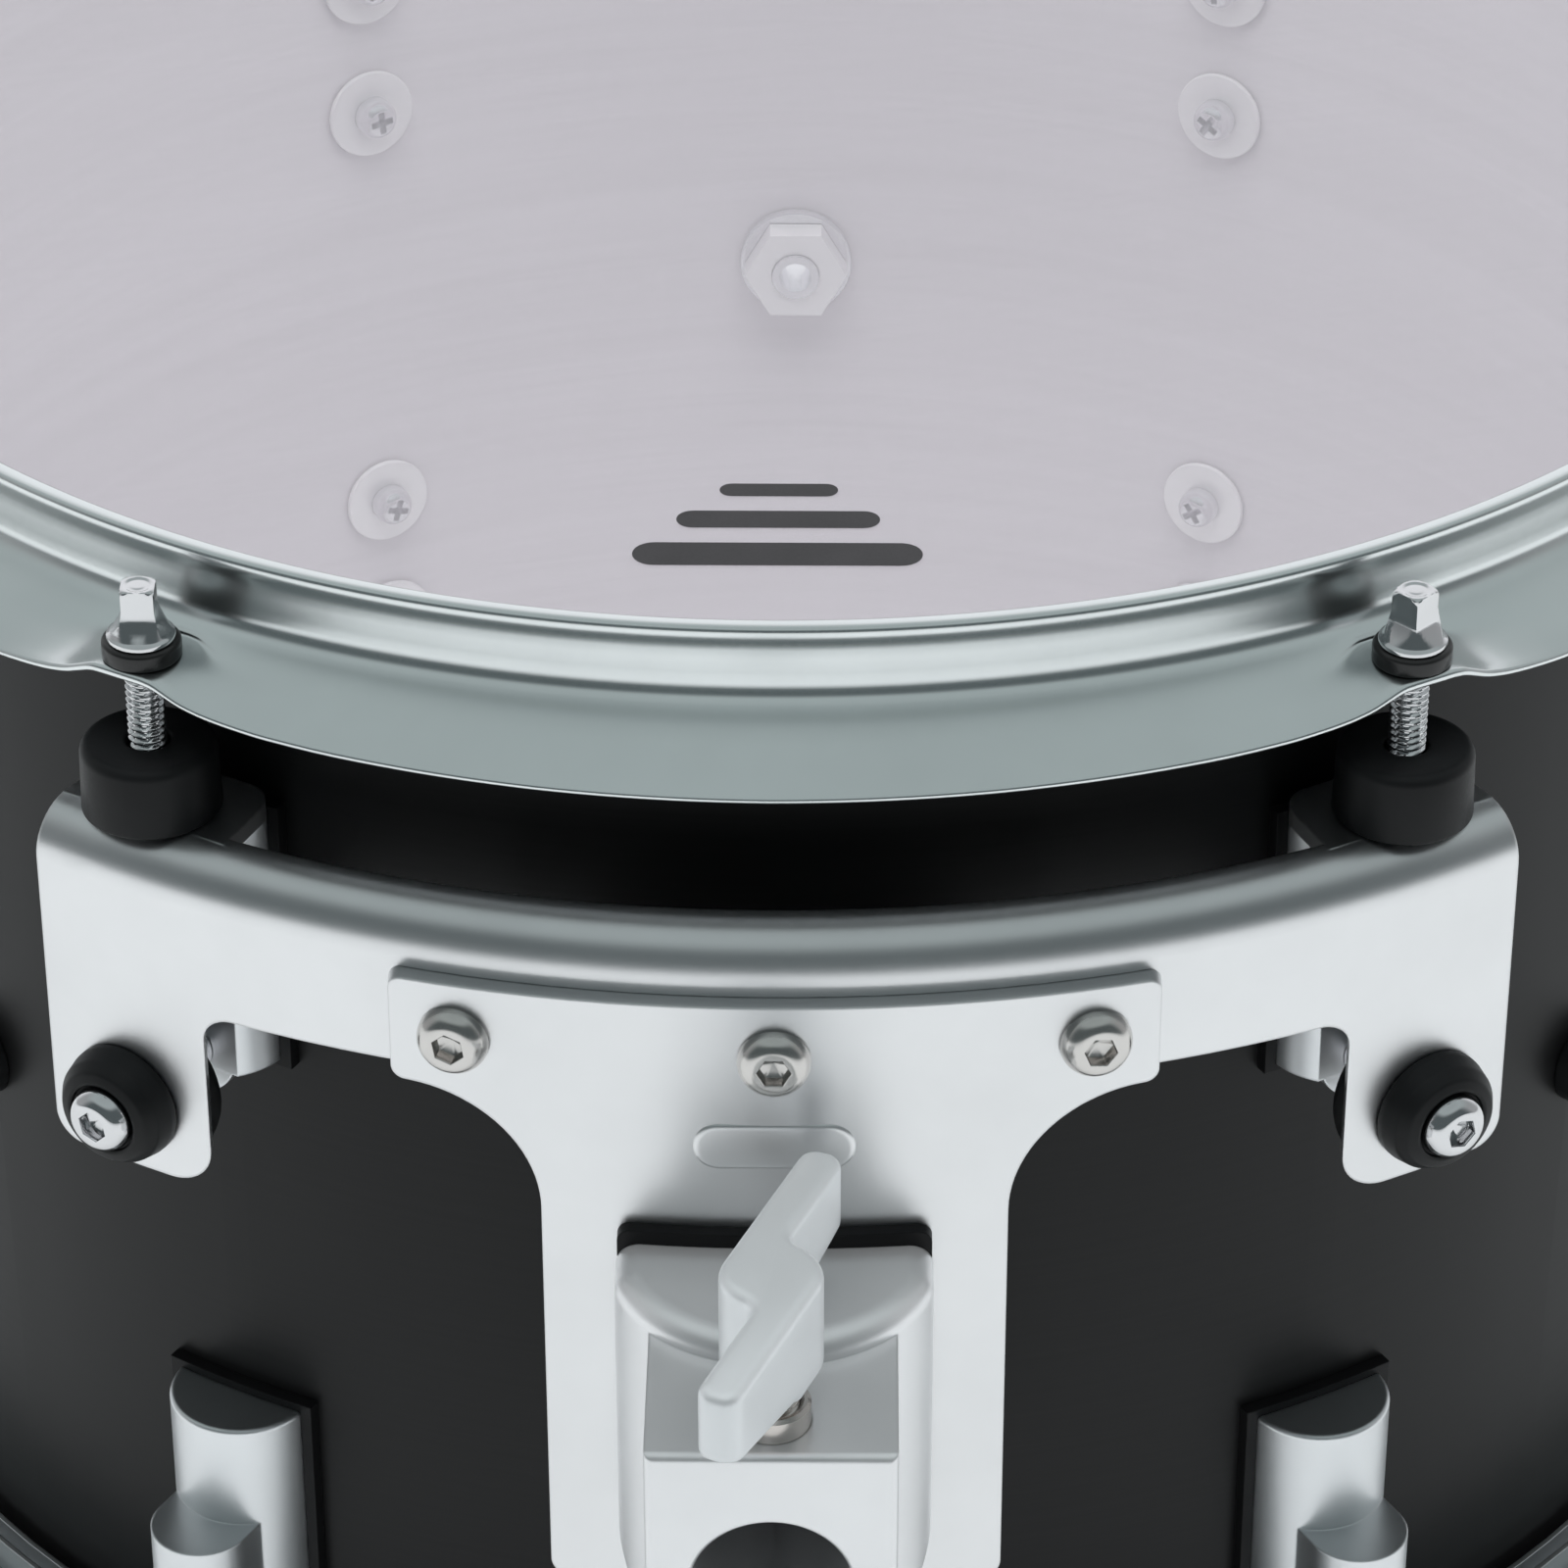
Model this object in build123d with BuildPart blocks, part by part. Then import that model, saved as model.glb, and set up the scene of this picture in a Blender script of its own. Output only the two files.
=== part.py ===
from build123d import *
import math
import os

os.makedirs("parts", exist_ok=True)

# 13 inch mounted tom drum with a suspension mount. Millimetres, +Z up.
# Origin: centre of the batter head's top surface. The tom-arm mount faces -Y.

# ---------------------------------------------------------------- driving dimensions
shell_r = 163.7          # outer radius of the wooden shell
shell_in = 158.0         # inner radius of the shell
shell_len = 215.0        # bearing edge to bearing edge
film_t = 0.25            # drum head film
mid_z = -(film_t + shell_len / 2)          # mid-plane of the drum
lip_h = 5.5              # hoop lip above the head
hoop_r = 165.0           # inner radius of the hoop wall
ledge_z = -5.0           # hoop ledge over the flesh hoop
ear_z = -7.6             # washer seat on the hoop ears
washer_t = 2.7           # nylon washer under each key rod
skirt_r = 182.8          # outer edge of the hoop skirt
ear_r = 183.1            # outer edge of the hoop ears
rod_pcr = 177.1          # tension rod circle
rod_r = 2.75             # tension rod thread
lug_angles = [-30, 30, 90, 150, 210, 270]  # degrees from the front (-Y), towards +X
run = 0.05               # radial running clearance

gasket_t = 2.0
pad_r = shell_r + gasket_t                 # lug seat radius
lug_in = 38.0            # lug end nearest the mid-plane, distance from it
lug_out = 71.5           # lug end nearest the hoop
boss_in = 56.0           # closed end of the rod boss
tail_in = 27.7           # long tail of the two suspension lugs
screw_v = (41.2, 68.0)   # lug screws, distance from the mid-plane

br_out = 188.0           # outer radius of the suspension bracket
br_t = 2.8               # bracket sheet thickness
br_top = -32.5           # top of the bracket flange
pl_in = 188.05           # curved T-shaped mount plate
pl_out = 190.8
arm_r = 11.25            # bore for a 22.2 mm tom arm
arm_z = mid_z
clamp_y = -226.5         # axis of the wing bolt and clamp shoe
cast_front = -234.7
ga_out = 192.85          # outer radius of the plate gasket


def front(a, r=0.0, z=0.0):
    """Location turned a degrees from the front about the drum axis."""
    return Location((0, 0, z), (0, 0, a))


def save(part, name):
    part.label = name
    export_step(part, f"parts/{name}.step")


# ---------------------------------------------------------------- shell
with BuildPart() as shell:
    with BuildSketch(Plane.XZ):
        with BuildLine():
            z0, z1 = -film_t, -film_t - shell_len
            Polyline(
                (shell_in, z0 - 4.6), (shell_in + 4.2, z0), (shell_r - 0.9, z0), (shell_r, z0 - 0.9),
                (shell_r, z1 + 0.9), (shell_r - 0.9, z1), (shell_in + 4.2, z1), (shell_in, z1 + 4.6),
                close=True,
            )
        make_face()
    revolve(axis=Axis.Z)
    # lug screw holes, two per lug
    for a in lug_angles:
        for s in (1, -1):
            for v in screw_v:
                with Locations(Plane(origin=(160 * math.sin(math.radians(a)), -160 * math.cos(math.radians(a)), mid_z + s * v),
                                     z_dir=(math.sin(math.radians(a)), -math.cos(math.radians(a)), 0))):
                    Cylinder(2.2, 16, mode=Mode.SUBTRACT)
    # air vents: one at the back, two beside the mount
    for a, r in ((180, 4.6), (-49.2, 3.3), (49.2, 3.3)):
        with Locations(Plane(origin=(160 * math.sin(math.radians(a)), -160 * math.cos(math.radians(a)), mid_z),
                             z_dir=(math.sin(math.radians(a)), -math.cos(math.radians(a)), 0))):
            Cylinder(r, 16, mode=Mode.SUBTRACT)
save(shell.part, "shell")


# ---------------------------------------------------------------- heads and hoops, made for the top
with BuildPart() as film_top:
    with BuildSketch(Plane.XZ):
        with BuildLine():
            Polyline((0, 0), (164.1, 0), (164.4, -0.3), (164.4, -9.0), (165.3, -9.0), (165.3, -9.3),
                     (164.1, -9.3), (164.1, -film_t), (0, -film_t), close=True)
        make_face()
    revolve(axis=Axis.Z)

with BuildPart() as flesh_top:
    with BuildSketch(Plane.XZ):
        with BuildLine():
            Polyline((165.3, -7.35), (169.3, -7.35), (169.3, -13.3), (168.4, -13.3), (168.4, -8.3),
                     (166.2, -8.3), (166.2, -13.3), (165.3, -13.3), close=True)
        make_face()
    revolve(axis=Axis.Z)

ear_half, ear_slope, ear_in = 6.3, 12.5, 169.3
with BuildPart() as hoop_top:
    with BuildSketch(Plane.XZ) as hoop_section:
        with BuildLine():
            Polyline((skirt_r - 1.4, -14.6), (skirt_r, -13.1))
            Spline((skirt_r, -13.1), (176.2, -8.0), (168.6, ledge_z - 0.2))
            Polyline((168.6, ledge_z - 0.2), (167.3, ledge_z), (167.3, lip_h - 2.7), (168.4, lip_h - 1.8), (168.4, lip_h),
                     (hoop_r, lip_h), (hoop_r, -7.3), (169.7, -7.3), (169.7, -8.7), (171.6, -9.1))
            Spline((171.6, -9.1), (175.6, -10.7), (skirt_r - 1.4, -14.6))
        make_face()
    revolve(axis=Axis.Z)
    # clear the skirt where each ear stands
    for a in lug_angles:
        with Locations(front(a)):
            with Locations((0, -(170.4 + 192) / 2, -10)):
                Box(2 * 11.4, 192 - 170.4, 12.5, mode=Mode.SUBTRACT)
    # flat ears with sloping cheeks
    for a in lug_angles:
        with BuildSketch(Plane(origin=(ear_in * math.sin(math.radians(a)), -ear_in * math.cos(math.radians(a)), 0),
                               x_dir=(math.cos(math.radians(a)), math.sin(math.radians(a)), 0),
                               z_dir=(math.sin(math.radians(a)), -math.cos(math.radians(a)), 0))):
            with BuildLine():
                Polyline((-ear_slope, -11.6), (-ear_half, ear_z), (ear_half, ear_z), (ear_slope, -11.6),
                         (ear_slope - 1.2, -12.9), (ear_half - 0.9, ear_z - 2.3), (-ear_half + 0.9, ear_z - 2.3),
                         (-ear_slope + 1.2, -12.9), close=True)
            make_face()
        extrude(amount=ear_r - ear_in)
    # round the outer ends of the ears and drill them
    for a in lug_angles:
        with Locations(front(a)):
            with Locations((0, -rod_pcr, ear_z)):
                Cylinder(3.4, 12, mode=Mode.SUBTRACT)
    with BuildSketch(Plane.XY.offset(-20)):
        Circle(ear_r - 0.1)
        Circle(160, mode=Mode.SUBTRACT)
    extrude(amount=30, mode=Mode.INTERSECT)

with BuildPart() as washers_top:
    for a in lug_angles:
        with Locations(front(a)):
            with Locations((0, -rod_pcr, ear_z)):
                Cylinder(5.65, washer_t, align=(Align.CENTER, Align.CENTER, Align.MIN))
                Cylinder(2.9, 20, mode=Mode.SUBTRACT)

seat_z = ear_z + washer_t  # rod flange rests on the washer
rod_len = 42.0           # below the seat
key_turn = [0, 45, 20, 68, 33, 8]   # how each square key stands, degrees
rods_top = []
for a, turn in zip(lug_angles, key_turn):
    with BuildPart() as rod:
        with BuildSketch(Plane.XZ.offset(0)):
            with BuildLine():
                Polyline((0, seat_z + 2.2), (0, seat_z + 0.02), (4.9, seat_z + 0.02), (4.9, seat_z + 0.9),
                         (4.4, seat_z + 1.3), (3.9, seat_z + 2.4), (3.4, seat_z + 4.4), (0, seat_z + 4.4), close=True)
            make_face()
        revolve(axis=Axis.Z)
        with BuildSketch(Plane.XY.offset(seat_z + 2.4)):
            RectangleRounded(5.0, 5.0, 0.75)
        extrude(amount=6.0)
        with Locations((0, 0, seat_z - rod_len)):
            Cylinder(rod_r, rod_len + 0.5, align=(Align.CENTER, Align.CENTER, Align.MIN))
        chamfer(rod.edges().filter_by(GeomType.CIRCLE).group_by(Axis.Z)[0], 0.6)
    with BuildPart() as rod_placed:
        with Locations(Location((rod_pcr * math.sin(math.radians(a)), -rod_pcr * math.cos(math.radians(a)), 0),
                                (0, 0, turn))):
            add(rod.part)
    rods_top.append(rod_placed.part)


def flipped(part):
    """The same piece on the bottom side, turned over about the mid-plane."""
    with BuildPart() as low:
        add(part)
        mirror(about=Plane.XY.offset(mid_z), mode=Mode.REPLACE)
    return low.part


save(film_top.part, "batter_head")
save(flesh_top.part, "batter_flesh_hoop")
save(hoop_top.part, "batter_hoop")
save(washers_top.part, "top_rod_washers")
save(flipped(film_top.part), "resonant_head")
save(flipped(flesh_top.part), "resonant_flesh_hoop")
save(flipped(hoop_top.part), "resonant_hoop")
save(flipped(washers_top.part), "bottom_rod_washers")
for i, part in enumerate(rods_top):
    save(part, f"top_rod_{i + 1}")
    save(flipped(part), f"bottom_rod_{i + 1}")

# ---------------------------------------------------------------- lugs, made pointing -Y, upper side
ins_r, ins_len = 5.0, 13.5
lug_c = 164.6            # centre of the half-round lug body


def lug_part(v_in):
    with BuildPart() as lug:
        with BuildSketch(Plane.XY.offset(mid_z + v_in)):
            with Locations((0, -lug_c)):
                Circle(11.2)
        extrude(amount=lug_out - v_in)
        with BuildSketch(Plane.XY.offset(mid_z + boss_in)):
            with Locations((0, -rod_pcr)):
                Circle(7.85)
            with Locations((0, -(rod_pcr + 164) / 2)):
                Rectangle(15.7, rod_pcr - 164)
        extrude(amount=lug_out - boss_in)
        if v_in < lug_in:
            # round end that takes the leg bolt
            with Locations(Plane(origin=(0, -160, leg_z), z_dir=(0, -1, 0))):
                Cylinder(7.9, 12.05, align=(Align.CENTER, Align.CENTER, Align.MIN))
        # seat on the gasket
        with Locations((0, 0, mid_z + 50)):
            Cylinder(pad_r, 80, mode=Mode.SUBTRACT)
        if v_in < lug_in:
            # flat pad that the bracket leg is bolted to
            with Locations((0, -(172.1 + 180) / 2, mid_z + (v_in + 46.5) / 2)):
                Box(30, 180 - 172.1, 46.5 - v_in + 0.001, mode=Mode.SUBTRACT)
        edges = lug.edges().filter_by(lambda e: abs(e.center().Z - (mid_z + lug_out)) < 0.01 or abs(e.center().Z - (mid_z + v_in)) < 0.01)
        edges = [e for e in edges if e.center().Y < -(pad_r + 0.6) and e.bounding_box().size.Z < 0.01]
        try:
            fillet(edges, 0.7)
        except Exception:
            pass
        # swivel nut pocket, open towards the hoop
        with Locations((0, -rod_pcr, mid_z + lug_out)):
            Cylinder(ins_r, 2 * ins_len, mode=Mode.SUBTRACT)
        # screw pilots from the shell side
        for v in screw_v:
            with Locations(Plane(origin=(0, -pad_r, mid_z + v), z_dir=(0, -1, 0))):
                Cylinder(2.05, 15, mode=Mode.SUBTRACT)
        if v_in < lug_in:
            # tapped hole for the leg bolt
            with Locations(Plane(origin=(0, -172.1, leg_z), z_dir=(0, -1, 0))):
                Cylinder(3.0, 10, mode=Mode.SUBTRACT)
    return lug.part


leg_z = -77.1
short_lug = lug_part(lug_in)
long_lug = lug_part(tail_in)

for i, a in enumerate(lug_angles):
    with BuildPart() as up:
        with Locations(front(a)):
            add(long_lug if abs(a) == 30 else short_lug)
    save(up.part, f"upper_lug_{i + 1}")
    with BuildPart() as plain:
        with Locations(front(a)):
            add(short_lug)
    save(flipped(plain.part), f"lower_lug_{i + 1}")


def gasket_part(v_in):
    with BuildPart() as gasket:
        with BuildSketch(Plane.XY.offset(mid_z + v_in - 1.3)):
            with Locations((0, -shell_r)):
                Rectangle(26.0, 12.0)
            Circle(shell_r + 0.02, mode=Mode.SUBTRACT)
        extrude(amount=lug_out + 0.4 - v_in + 1.3)
        with Locations((0, 0, mid_z + 50)):
            Cylinder(pad_r - 0.02, 80, mode=Mode.INTERSECT)
        for v in screw_v:
            with Locations(Plane(origin=(0, -shell_r, mid_z + v), z_dir=(0, -1, 0))):
                Cylinder(2.2, 12, mode=Mode.SUBTRACT)
    return gasket.part


short_gasket, long_gasket = gasket_part(lug_in), gasket_part(tail_in)
with BuildPart() as upper_gaskets:
    for a in lug_angles:
        with Locations(front(a)):
            add(long_gasket if abs(a) == 30 else short_gasket)
with BuildPart() as plain_gaskets:
    for a in lug_angles:
        with Locations(front(a)):
            add(short_gasket)
save(upper_gaskets.part, "upper_lug_gaskets")
save(flipped(plain_gaskets.part), "lower_lug_gaskets")

with BuildPart() as inserts:
    for a in lug_angles:
        with Locations(front(a)):
            with Locations((0, -rod_pcr, mid_z + lug_out - ins_len + 0.3)):
                Cylinder(ins_r - 0.03, ins_len - 0.6, align=(Align.CENTER, Align.CENTER, Align.MIN))
                Cylinder(rod_r + run, 60, mode=Mode.SUBTRACT)
with BuildPart() as lug_inserts:
    add(inserts.part)
    add(flipped(inserts.part))
save(lug_inserts.part, "lug_inserts")

# lug screws (pan heads inside the shell) and their washers
with BuildPart() as lug_screws:
    for a in lug_angles:
        for s in (1, -1):
            for v in screw_v:
                sa, ca = math.sin(math.radians(a)), math.cos(math.radians(a))
                with Locations(Plane(origin=(156.2 * sa, -156.2 * ca, mid_z + s * v), z_dir=(sa, -ca, 0))):
                    Cylinder(3.75, 4.4, align=(Align.CENTER, Align.CENTER, Align.MAX))
                    Cylinder(2.0, 15.5, align=(Align.CENTER, Align.CENTER, Align.MIN))
save(lug_screws.part, "lug_screws")
with BuildPart() as lug_washers:
    for a in lug_angles:
        for s in (1, -1):
            for v in screw_v:
                sa, ca = math.sin(math.radians(a)), math.cos(math.radians(a))
                with Locations(Plane(origin=(156.25 * sa, -156.25 * ca, mid_z + s * v), z_dir=(sa, -ca, 0))):
                    Cylinder(8.4, 1.2, align=(Align.CENTER, Align.CENTER, Align.MIN))
                    Cylinder(2.2, 8, mode=Mode.SUBTRACT)
save(lug_washers.part, "lug_screw_washers")

# ---------------------------------------------------------------- suspension bracket
arc = 34.05
leg_end = -88.4          # lower end of the legs
leg_in = 81.4            # inner edge of each leg, from the centre plane
with BuildPart() as bracket:
    # bent sheet: flange, bend and band, turned about the drum axis
    with BuildSketch(Plane.XZ) as bent:
        with BuildLine():
            Polyline((180.0, br_top - br_t), (180.0, br_top), (br_out, br_top), (br_out, leg_end), (br_out - br_t, leg_end),
                     (br_out - br_t, br_top - br_t), close=True)
        make_face()
        fillet([v for v in bent.vertices() if abs(v.X - br_out) < 0.01 and abs(v.Y - br_top) < 0.01], 7.5)
        fillet([v for v in bent.vertices() if abs(v.X - (br_out - br_t)) < 0.01 and abs(v.Y - (br_top - br_t)) < 0.01], 4.7)
    revolve(axis=Axis.Z, revolution_arc=2 * arc)
    # tabs around the two front tension rods
    for sgn in (1, -1):
        with BuildSketch(Plane.XY.offset(br_top - br_t)) as tab:
            with BuildLine():
                c0, c1 = math.radians(25.3 * 1.0), math.radians(arc)
                pts = [(181.5, c0), (166.4, c0), (166.4, c1), (181.5, c1)]
                xy = [(r * math.sin(c) * sgn, -r * math.cos(c)) for r, c in pts]
                Polyline(*xy, close=True)
            make_face()
            ends = [v for v in tab.vertices() if math.hypot(v.X, v.Y) < 168]
            fillet(ends, 5.0)
        if sgn == 1:
            tab_right = tab.sketch
        else:
            tab_left = tab.sketch
# the revolve starts in the XZ plane on +X, so it is turned to the front
with BuildPart() as suspension_bracket:
    start = bracket.part.center(CenterOf.MASS)
    turn = math.degrees(math.atan2(start.Y, start.X))
    with Locations(Location((0, 0, 0), (0, 0, -90 - turn))):
        add(bracket.part)
    extrude(tab_right, amount=br_t)
    extrude(tab_left, amount=br_t)
    # window below the band, between the legs
    with BuildSketch(Plane.XZ.offset(140)) as window:
        with BuildLine():
            Polyline((-leg_in, -57.8), (leg_in, -57.8), (leg_in, -110), (-leg_in, -110), close=True)
        make_face()
        fillet([v for v in window.vertices() if v.Y > -60], 4.5)
    extrude(amount=60, mode=Mode.SUBTRACT)
    # rounded lower corners of the legs
    leg_out = br_out * math.sin(math.radians(arc))
    for sgn in (1, -1):
        with BuildSketch(Plane.XZ.offset(140)):
            with Locations((sgn * (leg_in + 3.15), leg_end + 3.15)):
                Rectangle(6.7, 6.7)
            with Locations((sgn * (leg_in + 6.5), leg_end + 6.5)):
                Circle(6.5, mode=Mode.SUBTRACT)
        extrude(amount=60, mode=Mode.SUBTRACT)
        with BuildSketch(Plane.XZ.offset(140)):
            with Locations((sgn * (leg_out - 1.8), leg_end + 2.15)):
                Rectangle(4.2, 4.7)
            with Locations((sgn * (leg_out - 3.9), leg_end + 4.5)):
                Ellipse(3.9, 4.5, mode=Mode.SUBTRACT)
        extrude(amount=60, mode=Mode.SUBTRACT)
        # holes: rubber foot spigot in the flange, grommet neck in the leg
        sa, ca = math.sin(math.radians(30 * sgn)), math.cos(math.radians(30))
        with Locations((rod_pcr * sa, -rod_pcr * ca, br_top)):
            Cylinder(5.0, 12, mode=Mode.SUBTRACT)
        with Locations(Plane(origin=(br_out * sa, -br_out * ca, leg_z), z_dir=(sa, -ca, 0))):
            Cylinder(7.0, 16, mode=Mode.SUBTRACT)
    # clearance holes for the mount plate screws
    for a in (0, 13.5, -13.5):
        sa, ca = math.sin(math.radians(a)), math.cos(math.radians(a))
        with Locations(Plane(origin=(br_out * sa, -br_out * ca, -50.3), z_dir=(sa, -ca, 0))):
            Cylinder(3.1, 12, mode=Mode.SUBTRACT)
save(suspension_bracket.part, "suspension_bracket")

# rubber feet between the bracket and the front tension rods
with BuildPart() as rubber_feet:
    for a in (-30, 30):
        sa, ca = math.sin(math.radians(a)), math.cos(math.radians(a))
        with Locations((rod_pcr * sa, -rod_pcr * ca, br_top + 0.02)):
            Cone(10.1, 9.8, 10.9, align=(Align.CENTER, Align.CENTER, Align.MIN))
        with Locations((rod_pcr * sa, -rod_pcr * ca, br_top - br_t - 0.1)):
            Cylinder(4.9, br_t + 1, align=(Align.CENTER, Align.CENTER, Align.MIN))
        with Locations((rod_pcr * sa, -rod_pcr * ca, br_top)):
            Cylinder(3.1, 40, mode=Mode.SUBTRACT)
    fillet(rubber_feet.edges().group_by(Axis.Z)[-1].filter_by(lambda e: e.radius > 8), 1.2)
save(rubber_feet.part, "rubber_feet")

# leg grommets, spacers and bolts, on a radial axis through each leg
with BuildPart() as grommet:
    with BuildSketch(Plane.XZ):
        with BuildLine():
            n0 = br_out + 0.02
            Polyline((4.1, 180.9), (11.8, 180.9), (12.6, 181.7), (12.6, 184.7), (6.9, 184.7), (6.9, n0), (9.1, n0), (9.1, n0 + 1.0))
            Spline((9.1, n0 + 1.0), (8.6, n0 + 3.9), (6.0, n0 + 6.1))
            Polyline((6.0, n0 + 6.1), (5.4, n0 + 6.1), (5.4, n0 + 5.3), (4.1, n0 + 5.3), (4.1, 180.9))
        make_face()
    revolve(axis=Axis.Z)
with BuildPart() as spacer:
    with Locations((0, 0, 172.2)):
        Cylinder(4.05, br_out + 5.3 - 172.2, align=(Align.CENTER, Align.CENTER, Align.MIN))
        Cylinder(3.05, 100, mode=Mode.SUBTRACT)
with BuildPart() as bolt:
    with BuildSketch(Plane.XZ):
        with BuildLine():
            b = br_out + 5.4
            Polyline((0, b), (3.9, b), (5.0, b + 0.15))
            ThreePointArc((5.0, b + 0.15), (4.1, b + 2.1), (2.0, b + 3.2))
            Polyline((2.0, b + 3.2), (0, b + 3.2), (0, b))
        make_face()
    revolve(axis=Axis.Z)
    with Locations((0, 0, 167.8)):
        Cylinder(2.95, b + 0.5 - 167.8, align=(Align.CENTER, Align.CENTER, Align.MIN))
    with BuildSketch(Plane.XY.offset(b + 3.3)):
        RegularPolygon(2.3, 6)
    extrude(amount=-2.2, mode=Mode.SUBTRACT)
for source, name in ((grommet.part, "leg_grommets"), (spacer.part, "leg_bolt_spacers"), (bolt.part, "leg_bolts")):
    with BuildPart() as pair:
        for a in (-30, 30):
            sa, ca = math.sin(math.radians(a)), math.cos(math.radians(a))
            with Locations(Plane(origin=(0, 0, leg_z), z_dir=(sa, -ca, 0)).location):
                add(source)
    save(pair.part, name)

# ---------------------------------------------------------------- T-shaped mount plate
plate_bottom = -144.5
screw_z = -50.3
cast_screws = [(16.2, -92.0), (-16.2, -92.0), (14.5, -128.0), (-14.5, -128.0)]
with BuildPart() as mount_plate:
    with BuildSketch(Plane.XY.offset(plate_bottom)):
        Circle(pl_out)
        Circle(pl_in, mode=Mode.SUBTRACT)
    extrude(amount=110)
    with BuildSketch(Plane.XZ.offset(150)) as tee:
        with BuildLine():
            Polyline((-53.7, -41.6), (53.7, -41.6), (53.7, -58.6), (32.9, -59.4), (32.9, plate_bottom), (-32.9, plate_bottom),
                     (-32.9, -59.4), (-53.7, -58.6), close=True)
        make_face()
        fillet([v for v in tee.vertices() if abs(v.X) < 40 and v.Y > -70], 19.0)
        fillet([v for v in tee.vertices() if abs(v.X) > 50], 2.0)
        fillet([v for v in tee.vertices() if v.Y < -140], 3.0)
    extrude(amount=60, mode=Mode.INTERSECT)
    for a in (0, 13.5, -13.5):
        sa, ca = math.sin(math.radians(a)), math.cos(math.radians(a))
        with Locations(Plane(origin=(pl_out * sa, -pl_out * ca, screw_z), z_dir=(sa, -ca, 0))):
            Cylinder(3.1, 12, mode=Mode.SUBTRACT)
    with Locations(Plane(origin=(0, -190, arm_z), z_dir=(0, -1, 0))):
        Cylinder(arm_r, 40, mode=Mode.SUBTRACT)
    for x, z in cast_screws:
        with Locations(Plane(origin=(x, -190, z), z_dir=(0, -1, 0))):
            Cylinder(2.7, 12, mode=Mode.SUBTRACT)
save(mount_plate.part, "mount_plate")

# plate screws (button heads) and their lock nuts behind the bracket
with BuildPart() as button:
    with BuildSketch(Plane.XZ):
        with BuildLine():
            b = pl_out + 0.03
            Polyline((0, b), (4.6, b), (5.2, b + 0.2))
            ThreePointArc((5.2, b + 0.2), (4.3, b + 2.1), (2.2, b + 3.2))
            Polyline((2.2, b + 3.2), (0, b + 3.2), (0, b))
        make_face()
    revolve(axis=Axis.Z)
    with Locations((0, 0, 176.5)):
        Cylinder(2.95, b + 0.5 - 176.5, align=(Align.CENTER, Align.CENTER, Align.MIN))
    with BuildSketch(Plane.XY.offset(b + 3.3)):
        RegularPolygon(2.3, 6)
    extrude(amount=-2.2, mode=Mode.SUBTRACT)
with BuildPart() as nut:
    with BuildSketch(Plane.XY.offset(178.4)):
        RegularPolygon(5.77, 6)
        Circle(3.0, mode=Mode.SUBTRACT)
    extrude(amount=6.4)
for source, name in ((button.part, "plate_screws"), (nut.part, "plate_nuts")):
    with BuildPart() as trio:
        for a in (0, 13.5, -13.5):
            sa, ca = math.sin(math.radians(a)), math.cos(math.radians(a))
            with Locations(Plane(origin=(0, 0, screw_z), z_dir=(sa, -ca, 0)).location):
                add(source)
    save(trio.part, name)

# ---------------------------------------------------------------- gasket, casting and clamp
cast_top, cast_bottom, cast_w = -81.1, -141.0, 22.4
floor_z = -84.8
block_bottom = -131.0

with BuildPart() as plate_gasket:
    with BuildSketch(Plane.XY.offset(cast_bottom - 1.2)):
        Circle(ga_out)
        Circle(pl_out + 0.03, mode=Mode.SUBTRACT)
    extrude(amount=cast_top + 2.2 - (cast_bottom - 1.2))
    with BuildSketch(Plane.XZ.offset(150)) as outline:
        with BuildLine():
            w = cast_w - 0.2
            Polyline((-w, cast_top + 2.2), (w, cast_top + 2.2), (w, cast_bottom - 1.2), (-w, cast_bottom - 1.2), close=True)
        make_face()
        fillet([v for v in outline.vertices() if v.Y > -100], 2.0)
        fillet([v for v in outline.vertices() if v.Y < -100], 15.8)
    extrude(amount=60, mode=Mode.INTERSECT)
    with Locations(Plane(origin=(0, -190, arm_z), z_dir=(0, -1, 0))):
        Cylinder(arm_r, 40, mode=Mode.SUBTRACT)
    for x, z in cast_screws:
        with Locations(Plane(origin=(x, -190, z), z_dir=(0, -1, 0))):
            Cylinder(2.7, 12, mode=Mode.SUBTRACT)
save(plate_gasket.part, "plate_gasket")

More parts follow.
